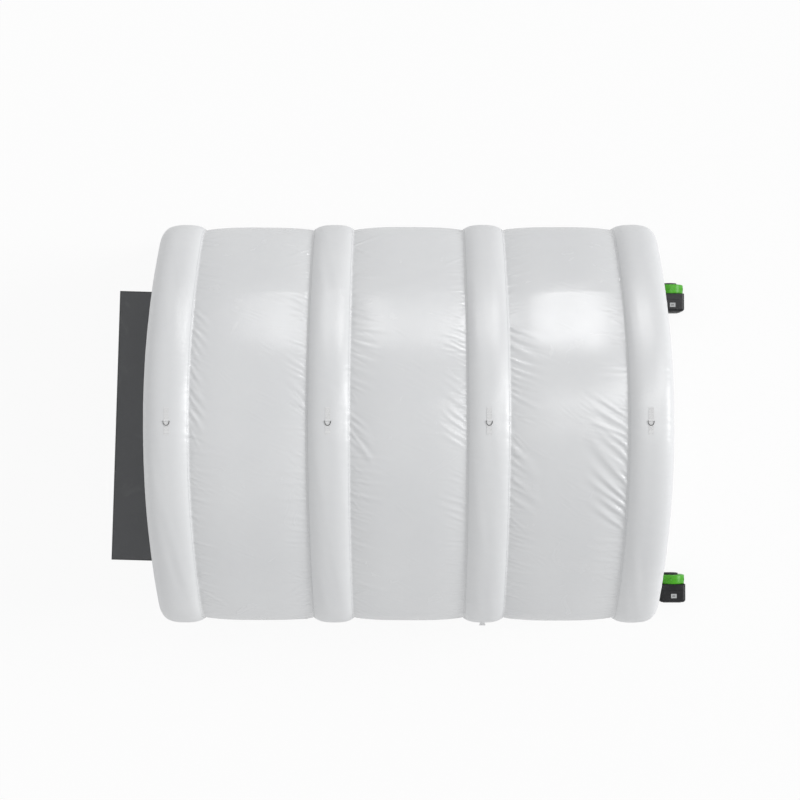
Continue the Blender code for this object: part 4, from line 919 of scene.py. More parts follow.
def folded_tape(name, path, cover, side, to_surface, steps):
    """Tape folded over a raw edge: path is the edge, side is +1 where the cloth lies to its right."""
    section = np.array([(cover, 0.3), (cover * 0.96, 1), (0.0, 1), (-0.0018, 0.6), (-0.0022, 0),
                        (-0.0018, -0.6), (0.0, -1), (cover * 0.96, -1), (cover, -0.3)]) * [1, TAPE_LIFT]
    size = (path_length(section), path_length(path))

    def place(u, v):
        at = along_path(section, u)
        way = along_path(path, np.clip(v + 0.002, 0, 1)) - along_path(path, np.clip(v - 0.002, 0, 1))
        flat = along_path(path, v) + side * square_to(way) * at[:, :1]
        return to_surface(flat[:, 0], flat[:, 1], at[:, 1] + 0.0003 * wander(v * size[1], 0.03, 77))
    tape = add_piece(name, grid_mesh(name, 20, steps, place, size), dark_binding)


def closed_path(points):
    return np.concatenate([points, points[:1]])


WALL_LINE, DOOR_LINE = wall_outline(), door_outline()


def front_wave(y, z):
    """How far the front wall's cloth stands in from its plane."""
    return 0.0030 * (1 + wander(y * 0.9 + 0.4 * z, 0.11, 201)) * (1 + wander(z - 0.3 * y, 0.19, 202)) * 0.5


def front_wall(u, v):
    """Point on the front wall for shares from the doorway to the arch and round them."""
    edge, seam = along_path(DOOR_LINE, v), along_path(WALL_LINE, v)
    flat = edge * (1 - u[:, None]) + seam * u[:, None]
    span = np.sin(math.pi * np.clip(u, 0, 1))
    fan = 0.0045 * span * (1 + wander(v * 7.1, 0.085, 203)) * (0.6 + 0.4 * wander(v * 7.1, 0.5, 204))
    y, z = flat.T
    return np.stack([-END_ARCH_X + fan + front_wave(y, z) * np.clip(u * 12, 0, 1), y, z], 1)


mesh = grid_mesh("front_wall", 30, 700, front_wall, (0.5, path_length(DOOR_LINE)), faces_up=(-1, 0, 0))
wall = add_piece("front_wall_cloth", mesh, wall_cloth, "front_wall")
folded_tape("doorway_binding", DOOR_LINE, 0.026, -1,
            lambda y, z, lift: np.stack([-END_ARCH_X + lift + 0.0007, y, z], 1), 420)


def rear_wave(y, z):
    """How far the rear wall's cloth stands out from its plane, less behind the filters."""
    off = rounded_distance(np.abs(y) - FILTER_SPACING / 2, z - FILTER_HEIGHT, 0.9, 0.9, 0.05)
    still = 1 - 0.8 * np.exp(-(off / 0.08).clip(0) ** 2)
    return still * 0.0028 * (1 + wander(y + 0.35 * z, 0.13, 211)) * (1 + wander(z - 0.2 * y, 0.17, 212)) * 0.6


ROOF_PART = WALL_LINE[(WALL_LINE[:, 0] >= 0) & (WALL_LINE[:, 1] > LEG_TOP - 0.01)]


def rear_surface(y, z, lift=0.0):
    return np.stack([END_ARCH_X + rear_wave(y, z) + lift, y, z], 1)


def rear_wall(u, v):
    """Point on the rear wall for shares across it and up it."""
    y = (2 * u - 1) * WALL_HALF
    top = np.interp(np.abs(y), ROOF_PART[:, 0], ROOF_PART[:, 1])
    z = WALL_HEM + (top - WALL_HEM) * v
    narrow = np.minimum(1.0, beside_tube(z) / WALL_HALF)
    return rear_surface(y * (1 + (narrow - 1) * np.abs(y / WALL_HALF) ** 6), z)


def rear_holes(middles):
    """Test for the faces of the rear wall inside the exhaust windows and the port."""
    y, z = middles[:, 1], middles[:, 2]
    windows = rounded_distance(np.abs(y) - FILTER_SPACING / 2, z - FILTER_HEIGHT, FILTER_WINDOW, FILTER_WINDOW,
                               WINDOW_CORNER)
    port = np.hypot(y - PORT_PLACE[0], z - PORT_PLACE[1]) - PORT_SIZE
    return np.minimum(windows, port) < -0.001


mesh = cut_hole(grid_mesh("rear_wall", 230, 190, rear_wall, (2 * WALL_HALF, 2.6), faces_up=(1, 0, 0)), rear_holes)
wall = add_piece("rear_wall_cloth", mesh, wall_cloth, "rear_wall")
square = rounded_path(FILTER_WINDOW, FILTER_WINDOW, WINDOW_CORNER, 400)[0]
for side_name, side in SIDES:
    edge = closed_path(square + [side * FILTER_SPACING / 2, FILTER_HEIGHT])
    folded_tape(f"exhaust_binding_{side_name}", edge, 0.024, 1, rear_surface, 260)
turn = np.linspace(0, 2 * math.pi, 121)
edge = PORT_SIZE * np.stack([np.cos(turn), np.sin(turn)], 1) + PORT_PLACE
folded_tape("port_binding", edge, 0.018, 1, rear_surface, 120)

# Door curtain. One loose sheet of the wall cloth hangs over the doorway from a sewn head,
# with a weighted hem. Its spare width falls in soft upright folds of unlike depth.
CURTAIN_OVERLAP = 0.05
CURTAIN_HEM = 0.012
CURTAIN_HALF = DOOR_WIDTH / 2 + CURTAIN_OVERLAP
CURTAIN_FLAT = (2.74, 2.16)
WALL_FACE = END_ARCH_X + WALL_SKIN / 2 + GAP


def curtain_head(y):
    """Height of the curtain's upper edge."""
    flat = DOOR_WIDTH / 2 - DOOR_CORNER_ACROSS
    share = np.clip((np.abs(y) - flat) / (DOOR_CORNER_ACROSS + CURTAIN_OVERLAP), 0, 1)
    return DOOR_HEIGHT - DOOR_CORNER_DOWN + (DOOR_CORNER_DOWN + CURTAIN_OVERLAP) * np.sqrt(1 - share ** 2)


def door_curtain(u, v):
    """Point on the curtain for shares across it and down it."""
    y = (2 * u - 1) * CURTAIN_HALF
    head = curtain_head(y)
    z = head + (CURTAIN_HEM - head) * v
    loose = np.sin(math.pi / 2 * v)
    uneven = 0.16 * np.sin(6 * math.pi * u + 0.7) + 0.05 * wander(v * 2, 0.5, 301)
    beat = 7 * u + uneven * np.sin(math.pi * u)
    depth = 0.022 + 0.007 * wander(beat, 1.0, 302)
    fold = depth * ((1 - np.cos(2 * math.pi * beat)) / 2) ** 0.8
    crease = 0.0012 * wander(y + 0.06 * z, 0.045, 303) * (0.4 + v) + 0.0008 * wander(z + 0.1 * y, 0.12, 304)
    stand = 0.006 * np.minimum(1, 7 * v) + fold * loose + crease * np.minimum(1, 5 * v)
    return np.stack([-WALL_FACE - 0.0012 - stand, y, z], 1)


curtain_cloth = coated_cloth("curtain_cloth", (0.76, 0.77, 0.78), (0.68, 0.69, 0.70), 0.55, 700.0,
                             2 * CURTAIN_HALF, (0.008, 0.030))
mesh = grid_mesh("door_curtain", 260, 150, door_curtain, (2 * CURTAIN_HALF, CURTAIN_FLAT[1]),
                 faces_up=(-1, 0, 0))
curtain = add_piece("door_curtain_cloth", mesh, curtain_cloth, "door_curtain", body="curtain")

# Zips. A coil zip runs up each straight side of the doorway. Its woven tape is sewn to the
# wall and carries two rows of moulded teeth, which the metal slider closes.
ZIP_GAP = 0.002
ZIP_TAPE = 0.036
ZIP_TAPE_SKIN = 0.0015
ZIP_FOOT = 0.03
ZIP_TOP = DOOR_HEIGHT - DOOR_CORNER_DOWN
ZIP_MIDDLE = CURTAIN_HALF + ZIP_GAP + ZIP_TAPE / 2
TOOTH_PITCH = 0.004
TOOTH_SIZE = (0.0036, 0.0052, 0.0017)

zip_tape = coated_cloth("zip_tape", (0.060, 0.060, 0.064), (0.040, 0.040, 0.044), 0.7, 900.0, ZIP_TAPE, (0.004,))


def moulded(name, light, dark, roughness, grain=900.0, metallic=0.0, scuffed=(0.5, 0.5, 0.5), scuff=0.25,
            depth=0.00005, **sockets):
    """Moulded plastic or plain metal with a fine grain, uneven gloss and a few pale scuffs."""
    made, s = new_material(name, roughness, metallic, **sockets)
    place, _, tone = coordinates(s, 7.0)
    colour = s.mix(tone["Tone"], dark, light)
    grains = s("TexNoise", Vector=place, Scale=grain, Detail=2.0)
    s.principled(Base_Color=s.mix(s.times(tone["Scuff"], scuff), colour, scuffed),
                 Roughness=s.times_add(s.minus(tone["Tone"], 0.5), 0.16, roughness),
                 Normal=s.bump(s.times(grains, depth), 0.7))
    return made


nylon = moulded("zip_teeth", (0.075, 0.075, 0.08), (0.045, 0.045, 0.05), 0.42)
zinc = moulded("zinc_slider", (0.62, 0.62, 0.63), (0.46, 0.46, 0.47), 0.30, 500.0, 1.0, (0.75, 0.75, 0.74), 0.4)
for side_name, side in SIDES:
    def place(u, v):
        z = ZIP_FOOT + (ZIP_TOP - ZIP_FOOT) * v
        ridge = 0.0008 * np.exp(-((u - 0.5) * ZIP_TAPE / 0.004) ** 2)
        x = -WALL_FACE - ZIP_TAPE_SKIN * 0.8 - ridge + 0.0002 * wander(z, 0.05, 310)
        return np.stack([x, side * (ZIP_MIDDLE + (u - 0.5) * ZIP_TAPE), z], 1)
    name = f"zip_tape_{side_name}"
    mesh = grid_mesh(name, 14, 160, place, (ZIP_TAPE, ZIP_TOP - ZIP_FOOT), faces_up=(-1, 0, 0))
    tape = add_piece(name, mesh, zip_tape, f"zip_{side_name}")
    mesh = bpy.data.meshes.new(f"zip_teeth_{side_name}")
    with edit(mesh) as bm:
        for way in (-1, 1):
            tooth = bmesh.ops.create_cube(bm, size=1.0)["verts"]
            spot = (-WALL_FACE - ZIP_TAPE_SKIN - 0.0024, side * ZIP_MIDDLE + way * 0.0012,
                    ZIP_FOOT + 0.002 + (way + 1) * TOOTH_PITCH / 4)
            bmesh.ops.scale(bm, verts=tooth, vec=TOOTH_SIZE)
            bmesh.ops.translate(bm, verts=tooth, vec=spot)
        bmesh.ops.bevel(bm, geom=bm.edges[:], offset=0.0005, segments=1, affect="EDGES", profile=0.5, material=-1)
    teeth = add_piece(mesh.name, mesh, nylon, sharp=30)
    array = teeth.modifiers.new("row", "ARRAY")
    array.count = int((ZIP_TOP - ZIP_FOOT - 0.004) / TOOTH_PITCH)
    array.use_relative_offset = False
    array.use_constant_offset = True
    array.constant_offset_displace = (0.0, 0.0, TOOTH_PITCH)
    bpy.data.objects[f"zip_slider_{side_name}"].data.materials[0] = zinc

# Exhaust filters. Each pleated pad of needled fibre stands in an open-topped pocket of
# thinner grey cloth, sewn to the cabin side of the rear wall round its window.
FILTER_SKIN = 0.02
PLEATS = 24
PLEAT_DEPTH = 0.006
POCKET_RIM = 0.04
POCKET_LIP = 0.004
POCKET_SLACK = 0.003
CABIN_FACE = END_ARCH_X - WALL_SKIN / 2 - GAP
POCKET_HALF = FILTER_SIZE / 2 + POCKET_SLACK + POCKET_RIM
POCKET_FLOOR = FILTER_HEIGHT - FILTER_SIZE / 2 - GAP - POCKET_RIM
POCKET_DEPTH = FILTER_SKIN + 2 * GAP + POCKET_LIP
POCKET_TALL = FILTER_SIZE + POCKET_RIM + GAP
POCKET_FLAT = (2 * (POCKET_HALF + POCKET_DEPTH), POCKET_TALL + POCKET_DEPTH)

media, s = new_material("filter_media", 0.95, Sheen_Weight=0.2)
place, uv, tone = coordinates(s, 2.0)
fibres = s("TexNoise", Vector=place, Scale=420.0, Detail=5.0, Distortion=2.5)
colour = s.mix(fibres, (0.60, 0.62, 0.60), (0.80, 0.82, 0.80))
s.principled(Base_Color=s.mix(s.times(tone["Scuff"], 0.5), colour, (0.46, 0.46, 0.44)),
             Normal=s.bump(s.times(fibres, 0.0012), 0.9))
pocket_cloth = coated_cloth("pocket_cloth", (0.60, 0.61, 0.62), (0.52, 0.53, 0.54), 0.7, 420.0)


def row_at(rows, share):
    """Whole rows of a section for shares of the grid across it."""
    return np.rint(share * (len(rows) - 1)).astype(int)


def pleated_pad(middle):
    """Point on a filter pad for shares round its pleated section and up it."""
    share = np.linspace(0, 1, PLEATS * 8 + 1)
    wave = PLEAT_DEPTH * ((1 + np.cos(2 * math.pi * PLEATS * share)) / 2) ** 0.7
    y = middle - FILTER_SIZE / 2 + FILTER_SIZE * share
    front = np.stack([CABIN_FACE - GAP - FILTER_SKIN + PLEAT_DEPTH - wave, y], 1)
    back = np.stack([CABIN_FACE - GAP - wave, y], 1)
    section = closed_path(np.concatenate([front, back[::-1]]))

    def place(u, v):
        x, y = section[row_at(section, u)].T
        z = FILTER_HEIGHT - FILTER_SIZE / 2 + FILTER_SIZE * v
        return np.stack([x, y + 0.0012 * wander(z, 0.11, 330) * np.sin(math.pi * v), z], 1)
    return place, len(section) - 1


def filter_pocket(middle):
    """Point on a pocket for shares across it and up it, its folded sides and floor included."""
    def place(u, v):
        a = (2 * u - 1) * (POCKET_HALF + POCKET_DEPTH)
        b = v * POCKET_FLAT[1] - POCKET_DEPTH
        over = np.maximum(np.clip(np.abs(a) - POCKET_HALF, 0, None), np.clip(-b, 0, None))
        a, b = np.clip(a, -POCKET_HALF, POCKET_HALF), np.clip(b, 0, None)
        puff = 0.0022 * (1 + wander(a + 0.3 * b, 0.10, 341)) * (1 - np.clip(over / 0.004, 0, 1))
        puff = puff * np.clip((POCKET_HALF - np.abs(a)) / 0.04, 0, 1)
        return np.stack([CABIN_FACE - POCKET_DEPTH + over - puff, middle + a, POCKET_FLOOR + b], 1)
    return place


def pocket_face(y, z, lift):
    return np.stack([CABIN_FACE - POCKET_DEPTH - 0.0030 + lift, y, z], 1)


for side_name, side in SIDES:
    middle = side * FILTER_SPACING / 2
    place, steps = pleated_pad(middle)
    mesh = grid_mesh(f"filter_{side_name}", steps, 36, place, (2 * FILTER_SIZE, FILTER_SIZE), closed=True)
    pad = add_piece(f"exhaust_filter_{side_name}", mesh, media, f"filter_pad_{side_name}", 40,
                    body=f"filter_{side_name}")

    mesh = grid_mesh(f"pocket_{side_name}", 110, 100, filter_pocket(middle), POCKET_FLAT, faces_up=(-1, 0, 0))
    cut_hole(mesh, lambda m: rounded_distance(m[:, 1] - middle, m[:, 2] - FILTER_HEIGHT, FILTER_WINDOW,
                                              FILTER_WINDOW, WINDOW_CORNER) < -0.001)
    pocket = add_piece(f"filter_pocket_cloth_{side_name}", mesh, pocket_cloth,
                       f"filter_pocket_{side_name}")
    edge = closed_path(square + [middle, FILTER_HEIGHT])
    folded_tape(f"pocket_binding_{side_name}", edge, 0.020, 1, pocket_face, 260)

# Floor mat. A separate sheet of heavy dark grey woven cloth with a bound edge covers the
# cabin floor. It lies loose, a little askew, and reaches out of the door.
MAT_LENGTH = 5.0
MAT_WIDTH = 2.97
MAT_REACH = 3.235
MAT_SKEW = math.radians(1.6)
MAT_BORDER = 0.026
MAT_THICK = 0.0032


def thicken(mesh, skin):
    """Gives a sheet its thickness, to the back of its faces."""
    with edit(mesh) as bm:
        bmesh.ops.solidify(bm, geom=bm.faces[:], thickness=skin)
        bmesh.ops.recalc_face_normals(bm, faces=bm.faces)


def floor_mat(u, v):
    """Point on the mat's upper side for shares along it and across it."""
    a, b = (u - 0.5) * MAT_LENGTH, (v - 0.5) * MAT_WIDTH
    wave = 0.0005 * wander(a + 0.2 * b, 0.31, 401) * wander(b - 0.3 * a, 0.27, 402)
    border = 0.0004 * (np.minimum(MAT_LENGTH / 2 - np.abs(a), MAT_WIDTH / 2 - np.abs(b)) < MAT_BORDER)
    x = MAT_LENGTH / 2 - MAT_REACH + a * math.cos(MAT_SKEW) + b * math.sin(MAT_SKEW)
    y = -MAT_LENGTH / 2 * math.sin(MAT_SKEW) - a * math.sin(MAT_SKEW) + b * math.cos(MAT_SKEW)
    return np.stack([x, y, 0.0040 + wave + border], 1)


mat_cloth, s = new_material("mat_cloth", 0.78)
place, uv, tone = coordinates(s, 1.3)
weave = s.group(WEAVE, Vector=uv, Threads=330.0)
parts = s.split(uv)
edge_a, edge_b = (s.math("MINIMUM", parts[k], s.minus((MAT_LENGTH, MAT_WIDTH)[k], parts[k])) for k in range(2))
edge = s.math("MINIMUM", edge_a, edge_b)
stitch = s.group(STITCH, Across=edge, Along=s.math("ADD", parts[0], parts[1]), Row=0.022, Pitch=0.007)
colour = s.mix(tone["Tone"], (0.086, 0.089, 0.093), (0.112, 0.115, 0.120))
for mask, share, paint in ((weave["Height"], 0.25, (0.15, 0.152, 0.157)),
                           (s.math("LESS_THAN", edge, MAT_BORDER), 0.5, (0.070, 0.072, 0.075)),
                           (stitch["Thread"], 0.8, (0.22, 0.22, 0.225)),
                           (tone["Scuff"], 0.22, (0.20, 0.20, 0.20))):
    colour = s.mix(s.times(mask, share), colour, paint)
s.principled(Base_Color=colour, Roughness=s.times_add(tone["Tone"], 0.12, 0.70),
             Normal=s.bump(s.times(weave["Height"], 0.0005), 0.7))
mesh = grid_mesh("floor_mat", 250, 150, floor_mat, (MAT_LENGTH, MAT_WIDTH), faces_up=(0, 0, 1))
thicken(mesh, MAT_THICK)
mat = add_piece("floor_mat_cloth", mesh, mat_cloth, "floor_mat", 40)

# Lashing points. A strip of pale ribbed webbing is box-stitched to the crest of each arch
# and to both sides of the two middle ones. It bulges into a loop that holds a D-ring of
# black steel wire. The strip on the third arch's right side is kinked and stands proud.
WEB_WIDTH = 0.05
WEB_SKIN = 0.0015
CROWN_WEB_LENGTH = 0.26
SIDE_WEB_LENGTH = 0.10
SIDE_RING_DROP = 0.065
KINKED_REACH = 0.030
RING_WIRE = 0.0025
RING_SLACK = 0.0005
RING_SIDE_SLACK = 0.0015
RING_DEPTH = 0.042
RING_HALF = WEB_WIDTH / 2 + RING_SIDE_SLACK + RING_WIRE
LOOP_ROUND = WEB_SKIN + RING_SLACK + RING_WIRE
WEB_TOP = 0.0012
WEB_THICK = 0.0010
RIB_PITCH = 0.0018
BOX_HALF = 0.0185
CROWN_TAB_Z = 2.9905
CROWN_HINGE_Z = 2.994465
SIDE_TAB_Y = 2.02942

webbing, s = new_material("webbing", 0.75, Sheen_Weight=0.15)
place, uv, tone = coordinates(s, 12.0)
across, along, _ = s.split(uv)
chevron = s.math("PINGPONG", across, 0.0042)
rib = s.math("SINE", s.times(s.math("ADD", along, chevron), 2 * math.pi / RIB_PITCH))
rib = s.times_add(rib, 0.5, 0.5)
selvedge = s.math("LESS_THAN", s.math("MINIMUM", across, s.minus(WEB_WIDTH, across)), 0.003)
colour = s.mix(tone["Tone"], (0.80, 0.805, 0.81), (0.87, 0.875, 0.88))
colour = s.mix(s.times(rib, 0.12), colour, (0.62, 0.625, 0.63))
colour = s.mix(s.times(selvedge, 0.20), colour, (0.58, 0.58, 0.59))
height = s.times(rib, 0.0004)
off_middle = s.math("ABSOLUTE", s.minus(across, WEB_WIDTH / 2))
off_box = s.math("ABSOLUTE", s.minus(s.math("PINGPONG", along, 0.06), 0.033))
box = s.math("MAXIMUM", s.math("DIVIDE", off_middle, BOX_HALF), s.math("DIVIDE", off_box, BOX_HALF))
for line in (s.times(s.minus(box, 1.0), BOX_HALF), s.math("ABSOLUTE", s.minus(off_middle, off_box))):
    stitch = s.group(STITCH, Across=line, Along=s.math("ADD", across, along), Row=0.0, Pitch=0.0035)
    on = s.times(stitch["Thread"], s.math("LESS_THAN", box, 1.08))
    colour = s.mix(s.times(on, 0.75), colour, (0.30, 0.30, 0.31))
    height = s.times_add(on, 0.0004, height)
s.principled(Base_Color=colour, Normal=s.bump(height, 0.8))

black_steel, s = new_material("black_steel", 0.35, 0.9)
place, uv, tone = coordinates(s, 40.0)
colour = s.mix(tone["Tone"], (0.035, 0.035, 0.037), (0.060, 0.060, 0.062))
s.principled(Base_Color=s.mix(s.times(tone["Scuff"], 0.6), colour, (0.36, 0.35, 0.34)),
             Roughness=s.times_add(tone["Scuff"], -0.12, 0.40),
             Normal=s.bump(s.times(s("TexNoise", Vector=place, Scale=900.0, Detail=3.0), 0.0001), 0.6))


def tab_profile(length, reach):
    """Line (along, height) of a strip's upper side, with the loop over the ring's bar."""
    centre = LOOP_ROUND + reach
    if reach > 0:
        neck = 0.0018
        start = math.asin(neck / LOOP_ROUND)
        turn = np.linspace(1.5 * math.pi - start, -0.5 * math.pi + start, 40)
    else:
        neck = LOOP_ROUND
        turn = np.linspace(math.pi, 0, 30)
    loop = np.stack([LOOP_ROUND * np.cos(turn), centre + LOOP_ROUND * np.sin(turn)], 1)
    left = np.stack([np.linspace(-length / 2, -neck - 0.0015, 24), np.full(24, WEB_TOP)], 1)
    if reach > 0:
        stem = np.linspace(WEB_TOP + 0.0012, loop[0, 1] - 0.0005, 4)
        left = np.concatenate([left, np.stack([[-neck] * 4, stem], 1)])
    return np.concatenate([left, loop, left[::-1] * [-1, 1]])


def ring_track():
    """Closed line of a D-ring: a straight bar with rounded ends and a half oval."""
    turn = np.linspace(0, math.pi, 240)
    oval = np.stack([RING_HALF * np.cos(turn), RING_DEPTH * np.sin(turn)], 1)
    bar = np.stack([np.linspace(-RING_HALF, RING_HALF, 140)[1:-1], np.zeros(138)], 1)
    track = along_path(closed_path(np.concatenate([oval, bar])), np.linspace(0, 1, 361))[:-1]
    for _ in range(14):
        track = (np.roll(track, 1, 0) + 2 * track + np.roll(track, -1, 0)) / 4
    return closed_path(track)


def to_world(matrix, points):
    matrix = np.array(matrix)
    return points @ matrix[:3, :3].T + matrix[:3, 3]


def outward(loop):
    """Unit vectors out of a closed path, at each of its points."""
    return closed_path(square_to(np.roll(loop[:-1], -1, 0) - np.roll(loop[:-1], 1, 0)))


TRACK = ring_track()
TRACK_OUT = outward(TRACK)


def lashing_point(name, length, reach, matrix, crown):
    """One strip and its ring; the matrix's Z is the cloth's outward normal."""
    profile = tab_profile(length, reach)
    total = path_length(profile)

    def place(u, v):
        at = along_path(profile, v)
        x = (u - 0.5) * WEB_WIDTH
        fall = ROOF_FALL * (np.sqrt(at[:, 0] ** 4 + ROOF_FLAT ** 4) - ROOF_FLAT ** 2) if crown else 0
        ruffle = 0.0002 * wander(at[:, 0] + 0.3 * x, 0.02, 420)
        return to_world(matrix, np.stack([x, at[:, 0], at[:, 1] - fall + ruffle], 1))
    mesh = grid_mesh(f"{name}_webbing", 16, 150, place, (WEB_WIDTH, total), faces_up=matrix.to_3x3().col[2])
    thicken(mesh, WEB_THICK)
    strip = add_piece(f"{name}_webbing", mesh, webbing, f"{name}_tab", 50)

    bar_height = CROWN_HINGE_Z - CROWN_TAB_Z if crown else LOOP_ROUND + reach

    def place(u, v):
        centre, out = along_path(TRACK, v), along_path(TRACK_OUT, v)
        turn = 2 * math.pi * u
        flat = centre + RING_WIRE * np.cos(turn)[:, None] * out / np.hypot(*out.T)[:, None]
        return to_world(matrix, np.stack([*flat.T, bar_height + RING_WIRE * np.sin(turn)], 1))
    mesh = grid_mesh(f"{name}_wire", 14, 150, place, (2 * math.pi * RING_WIRE, 0.16), closed=True)
    add_piece(mesh.name, mesh, black_steel, f"{name}_ring", body=f"{name}_loop")


for index, arch in enumerate(ARCHES):
    turned = Matrix.Translation((arch_x(index), 0.0, CROWN_TAB_Z)) @ Matrix.Rotation(math.pi, 4, "Z")
    lashing_point(f"crown_{arch}", CROWN_WEB_LENGTH, 0.0, turned, True)
for index, arch in ((1, "mid_front"), (2, "mid_rear")):
    for side_name, side in SIDES:
        turned = Matrix(((side, 0, 0), (0, 0, side), (0, -1, 0))).to_4x4()
        place_at = Matrix.Translation((arch_x(index), side * SIDE_TAB_Y, LEG_TOP - SIDE_RING_DROP))
        reach = KINKED_REACH if (index, side) == (2, -1) else 0.0
        lashing_point(f"side_{arch}_{side_name}", SIDE_WEB_LENGTH, reach, place_at @ turned, False)

# Blower casings. Each blower's scroll is moulded in glossy green plastic in two halves that
# meet in a raised flange, held by six bosses with black screws. A square flange with a round
# beaded collar is screwed over the end of its duct.
AXIS_HEIGHT = 0.195
BLOWERS = {name: Vector((LENGTH / 2 + 0.352, y, AXIS_HEIGHT))
           for name, y in (("frame_blower", -1.68), ("supply_blower", 1.476))}
CASING_HALF = 0.05
CASING_SKIN = 0.003
CASING_ROUNDING = 0.012
SCROLL_SMALL = 0.115
SCROLL_LARGE = 0.165
SCROLL_START = math.radians(205)
DUCT_HEIGHT = 0.105
DUCT_LENGTH = 0.135
COLLAR_LENGTH = 0.055
COLLAR_RADIUS = 0.05
OUTLET_PLATE = 0.004
OUTLET_RIM = 0.006
COLLAR_DROP = SCROLL_LARGE - DUCT_HEIGHT / 2
INLET_RADIUS = 0.070
SHAFT_HOLE = 0.008
SCREW_SHARES = (0.06, 0.24, 0.42, 0.60, 0.78, 0.94)
QUARTER = np.linspace(0, math.pi / 2, 6)

green = moulded("green_plastic", (0.075, 0.43, 0.010), (0.055, 0.36, 0.006), 0.38, 700.0,
                scuffed=(0.24, 0.52, 0.16), Specular_IOR_Level=0.35, Coat_Weight=0.08, Coat_Roughness=0.2)
black = moulded("black_plastic", (0.020, 0.020, 0.022), (0.010, 0.010, 0.012), 0.40, 1100.0,
                scuffed=(0.12, 0.12, 0.12), depth=0.0002, Specular_IOR_Level=0.30)
rubber = moulded("black_rubber", (0.026, 0.026, 0.026), (0.016, 0.016, 0.016), 0.85, 600.0,
                 scuffed=(0.10, 0.10, 0.095), depth=0.0002)
motor_steel = moulded("motor_steel", (0.42, 0.43, 0.44), (0.30, 0.31, 0.32), 0.38, 400.0, 1.0,
                      (0.62, 0.60, 0.56), 0.4)
rocker_plastic = moulded("rocker_plastic", (0.24, 0.242, 0.245), (0.18, 0.182, 0.185), 0.5, 900.0,
                         scuffed=(0.40, 0.40, 0.40), depth=0.00015)
grey_plastic = moulded("grey_plastic", (0.50, 0.505, 0.51), (0.42, 0.425, 0.43), 0.5, 900.0,
                       scuffed=(0.68, 0.68, 0.68), depth=0.00015)


def add_joined(name, meshes, surface, replaced=None, sharp=35, body="booth"):
    """One piece from several meshes."""
    joined = bpy.data.meshes.new(name)
    with edit(joined) as bm:
        for mesh in meshes:
            bm.from_mesh(mesh)
            bpy.data.meshes.remove(mesh)
    return add_piece(name, joined, surface, replaced, sharp, body)


def lathe(name, profile, steps, centre, axis="Y"):
    """Closed profile of (radius, along) turned about an axis through a centre."""
    profile = closed_path(np.array(profile, float))

    def place(u, v):
        radius, along = profile[row_at(profile, u)].T
        a, z = radius * np.cos(2 * math.pi * v), radius * np.sin(2 * math.pi * v)
        return np.stack([along, a, z] if axis == "X" else [a, along, z], 1) + np.array(centre)
    widest = float(profile[:, 0].max())
    return grid_mesh(name, len(profile) - 1, steps, place, (path_length(profile), 2 * math.pi * widest),
                     closed=True)


def scroll_path():
    """Casing outline (x, z) round the wheel axis, with its duct to -X at the bottom."""
    share = np.linspace(0, 1, 160)
    turn = SCROLL_START - (SCROLL_START + math.pi / 2) * share
    radius = SCROLL_SMALL + (SCROLL_LARGE - SCROLL_SMALL) * share
    spiral = radius[:, None] * np.stack([np.cos(turn), np.sin(turn)], 1)
    duct = np.array([(-DUCT_LENGTH, -SCROLL_LARGE), (-DUCT_LENGTH, -SCROLL_LARGE + DUCT_HEIGHT)])
    return closed_path(np.concatenate([spiral, duct]))


SCROLL = scroll_path()


def casing_rows():
    """Section of the casing wall: 1 for a fixed radius or 0 for a distance in from the scroll,
    that length, and y. It runs from the intake eye over the flange to the shaft hole and back."""
    half, skin, soft = CASING_HALF, CASING_SKIN, CASING_ROUNDING
    flange = [(0.0, 0.0045), (-0.0016, 0.0038), (-0.0016, 0.0004)]
    rows = [(1, INLET_RADIUS, half - skin), (1, INLET_RADIUS - 0.0006, half - skin / 2), (1, INLET_RADIUS, half),
            (0, 0.030, half)]
    rows += [(0, soft * (1 - math.sin(t)), half - soft * (1 - math.cos(t))) for t in QUARTER]
    rows += [(0, inset, y) for inset, y in flange]
    rows += [(0, -0.0004, 0.0)] + [(0, inset, -y) for inset, y in flange[::-1]]
    rows += [(0, soft * (1 - math.cos(t)), -half + soft * (1 - math.sin(t))) for t in QUARTER]
    rows += [(0, 0.030, -half), (1, SHAFT_HOLE, -half), (1, SHAFT_HOLE, -half + skin), (0, soft, -half + skin),
             (0, skin, -half + soft), (0, skin, half - soft), (0, soft, half - skin)]
    return np.array(rows + rows[:1])


def add_casing(name, at):
    """The scroll with its bosses, and its screws."""
    rows = casing_rows()

    def place(u, v):
        fixed, length, y = rows[row_at(rows, u)].T
        edge = along_path(SCROLL, v)
        far = np.hypot(*edge.T)
        radius = np.where(fixed > 0, length, far - length)
        return np.stack([edge[:, 0] / far * radius, y, edge[:, 1] / far * radius], 1) + np.array(at)
    meshes = [grid_mesh(f"{name}_scroll", len(rows) - 1, 220, place, (0.34, 1.0), closed=True)]
    screws = []
    boss = [(0, -0.014), (0.0052, -0.014), (0.0060, -0.013), (0.0060, 0.013), (0.0052, 0.014), (0, 0.014)]
    screw = [(0, 0.0142), (0.0034, 0.0142), (0.0036, 0.0158), (0.0026, 0.0166), (0.0012, 0.0166), (0.0012, 0.0152),
             (0, 0.0152)]
    for share in SCREW_SHARES:
        x, z = along_path(SCROLL, np.array([share]))[0] * (1 + 0.002 / SCROLL_LARGE)
        meshes.append(lathe("boss", boss, 20, at + Vector((x, 0, z))))
        screws.append(lathe("screw", screw, 18, at + Vector((x, 0, z))))
    add_joined(f"{name}_scroll_casing", meshes, green, f"{name}_casing")
    add_joined(f"{name}_screws", screws, black_steel, sharp=30)


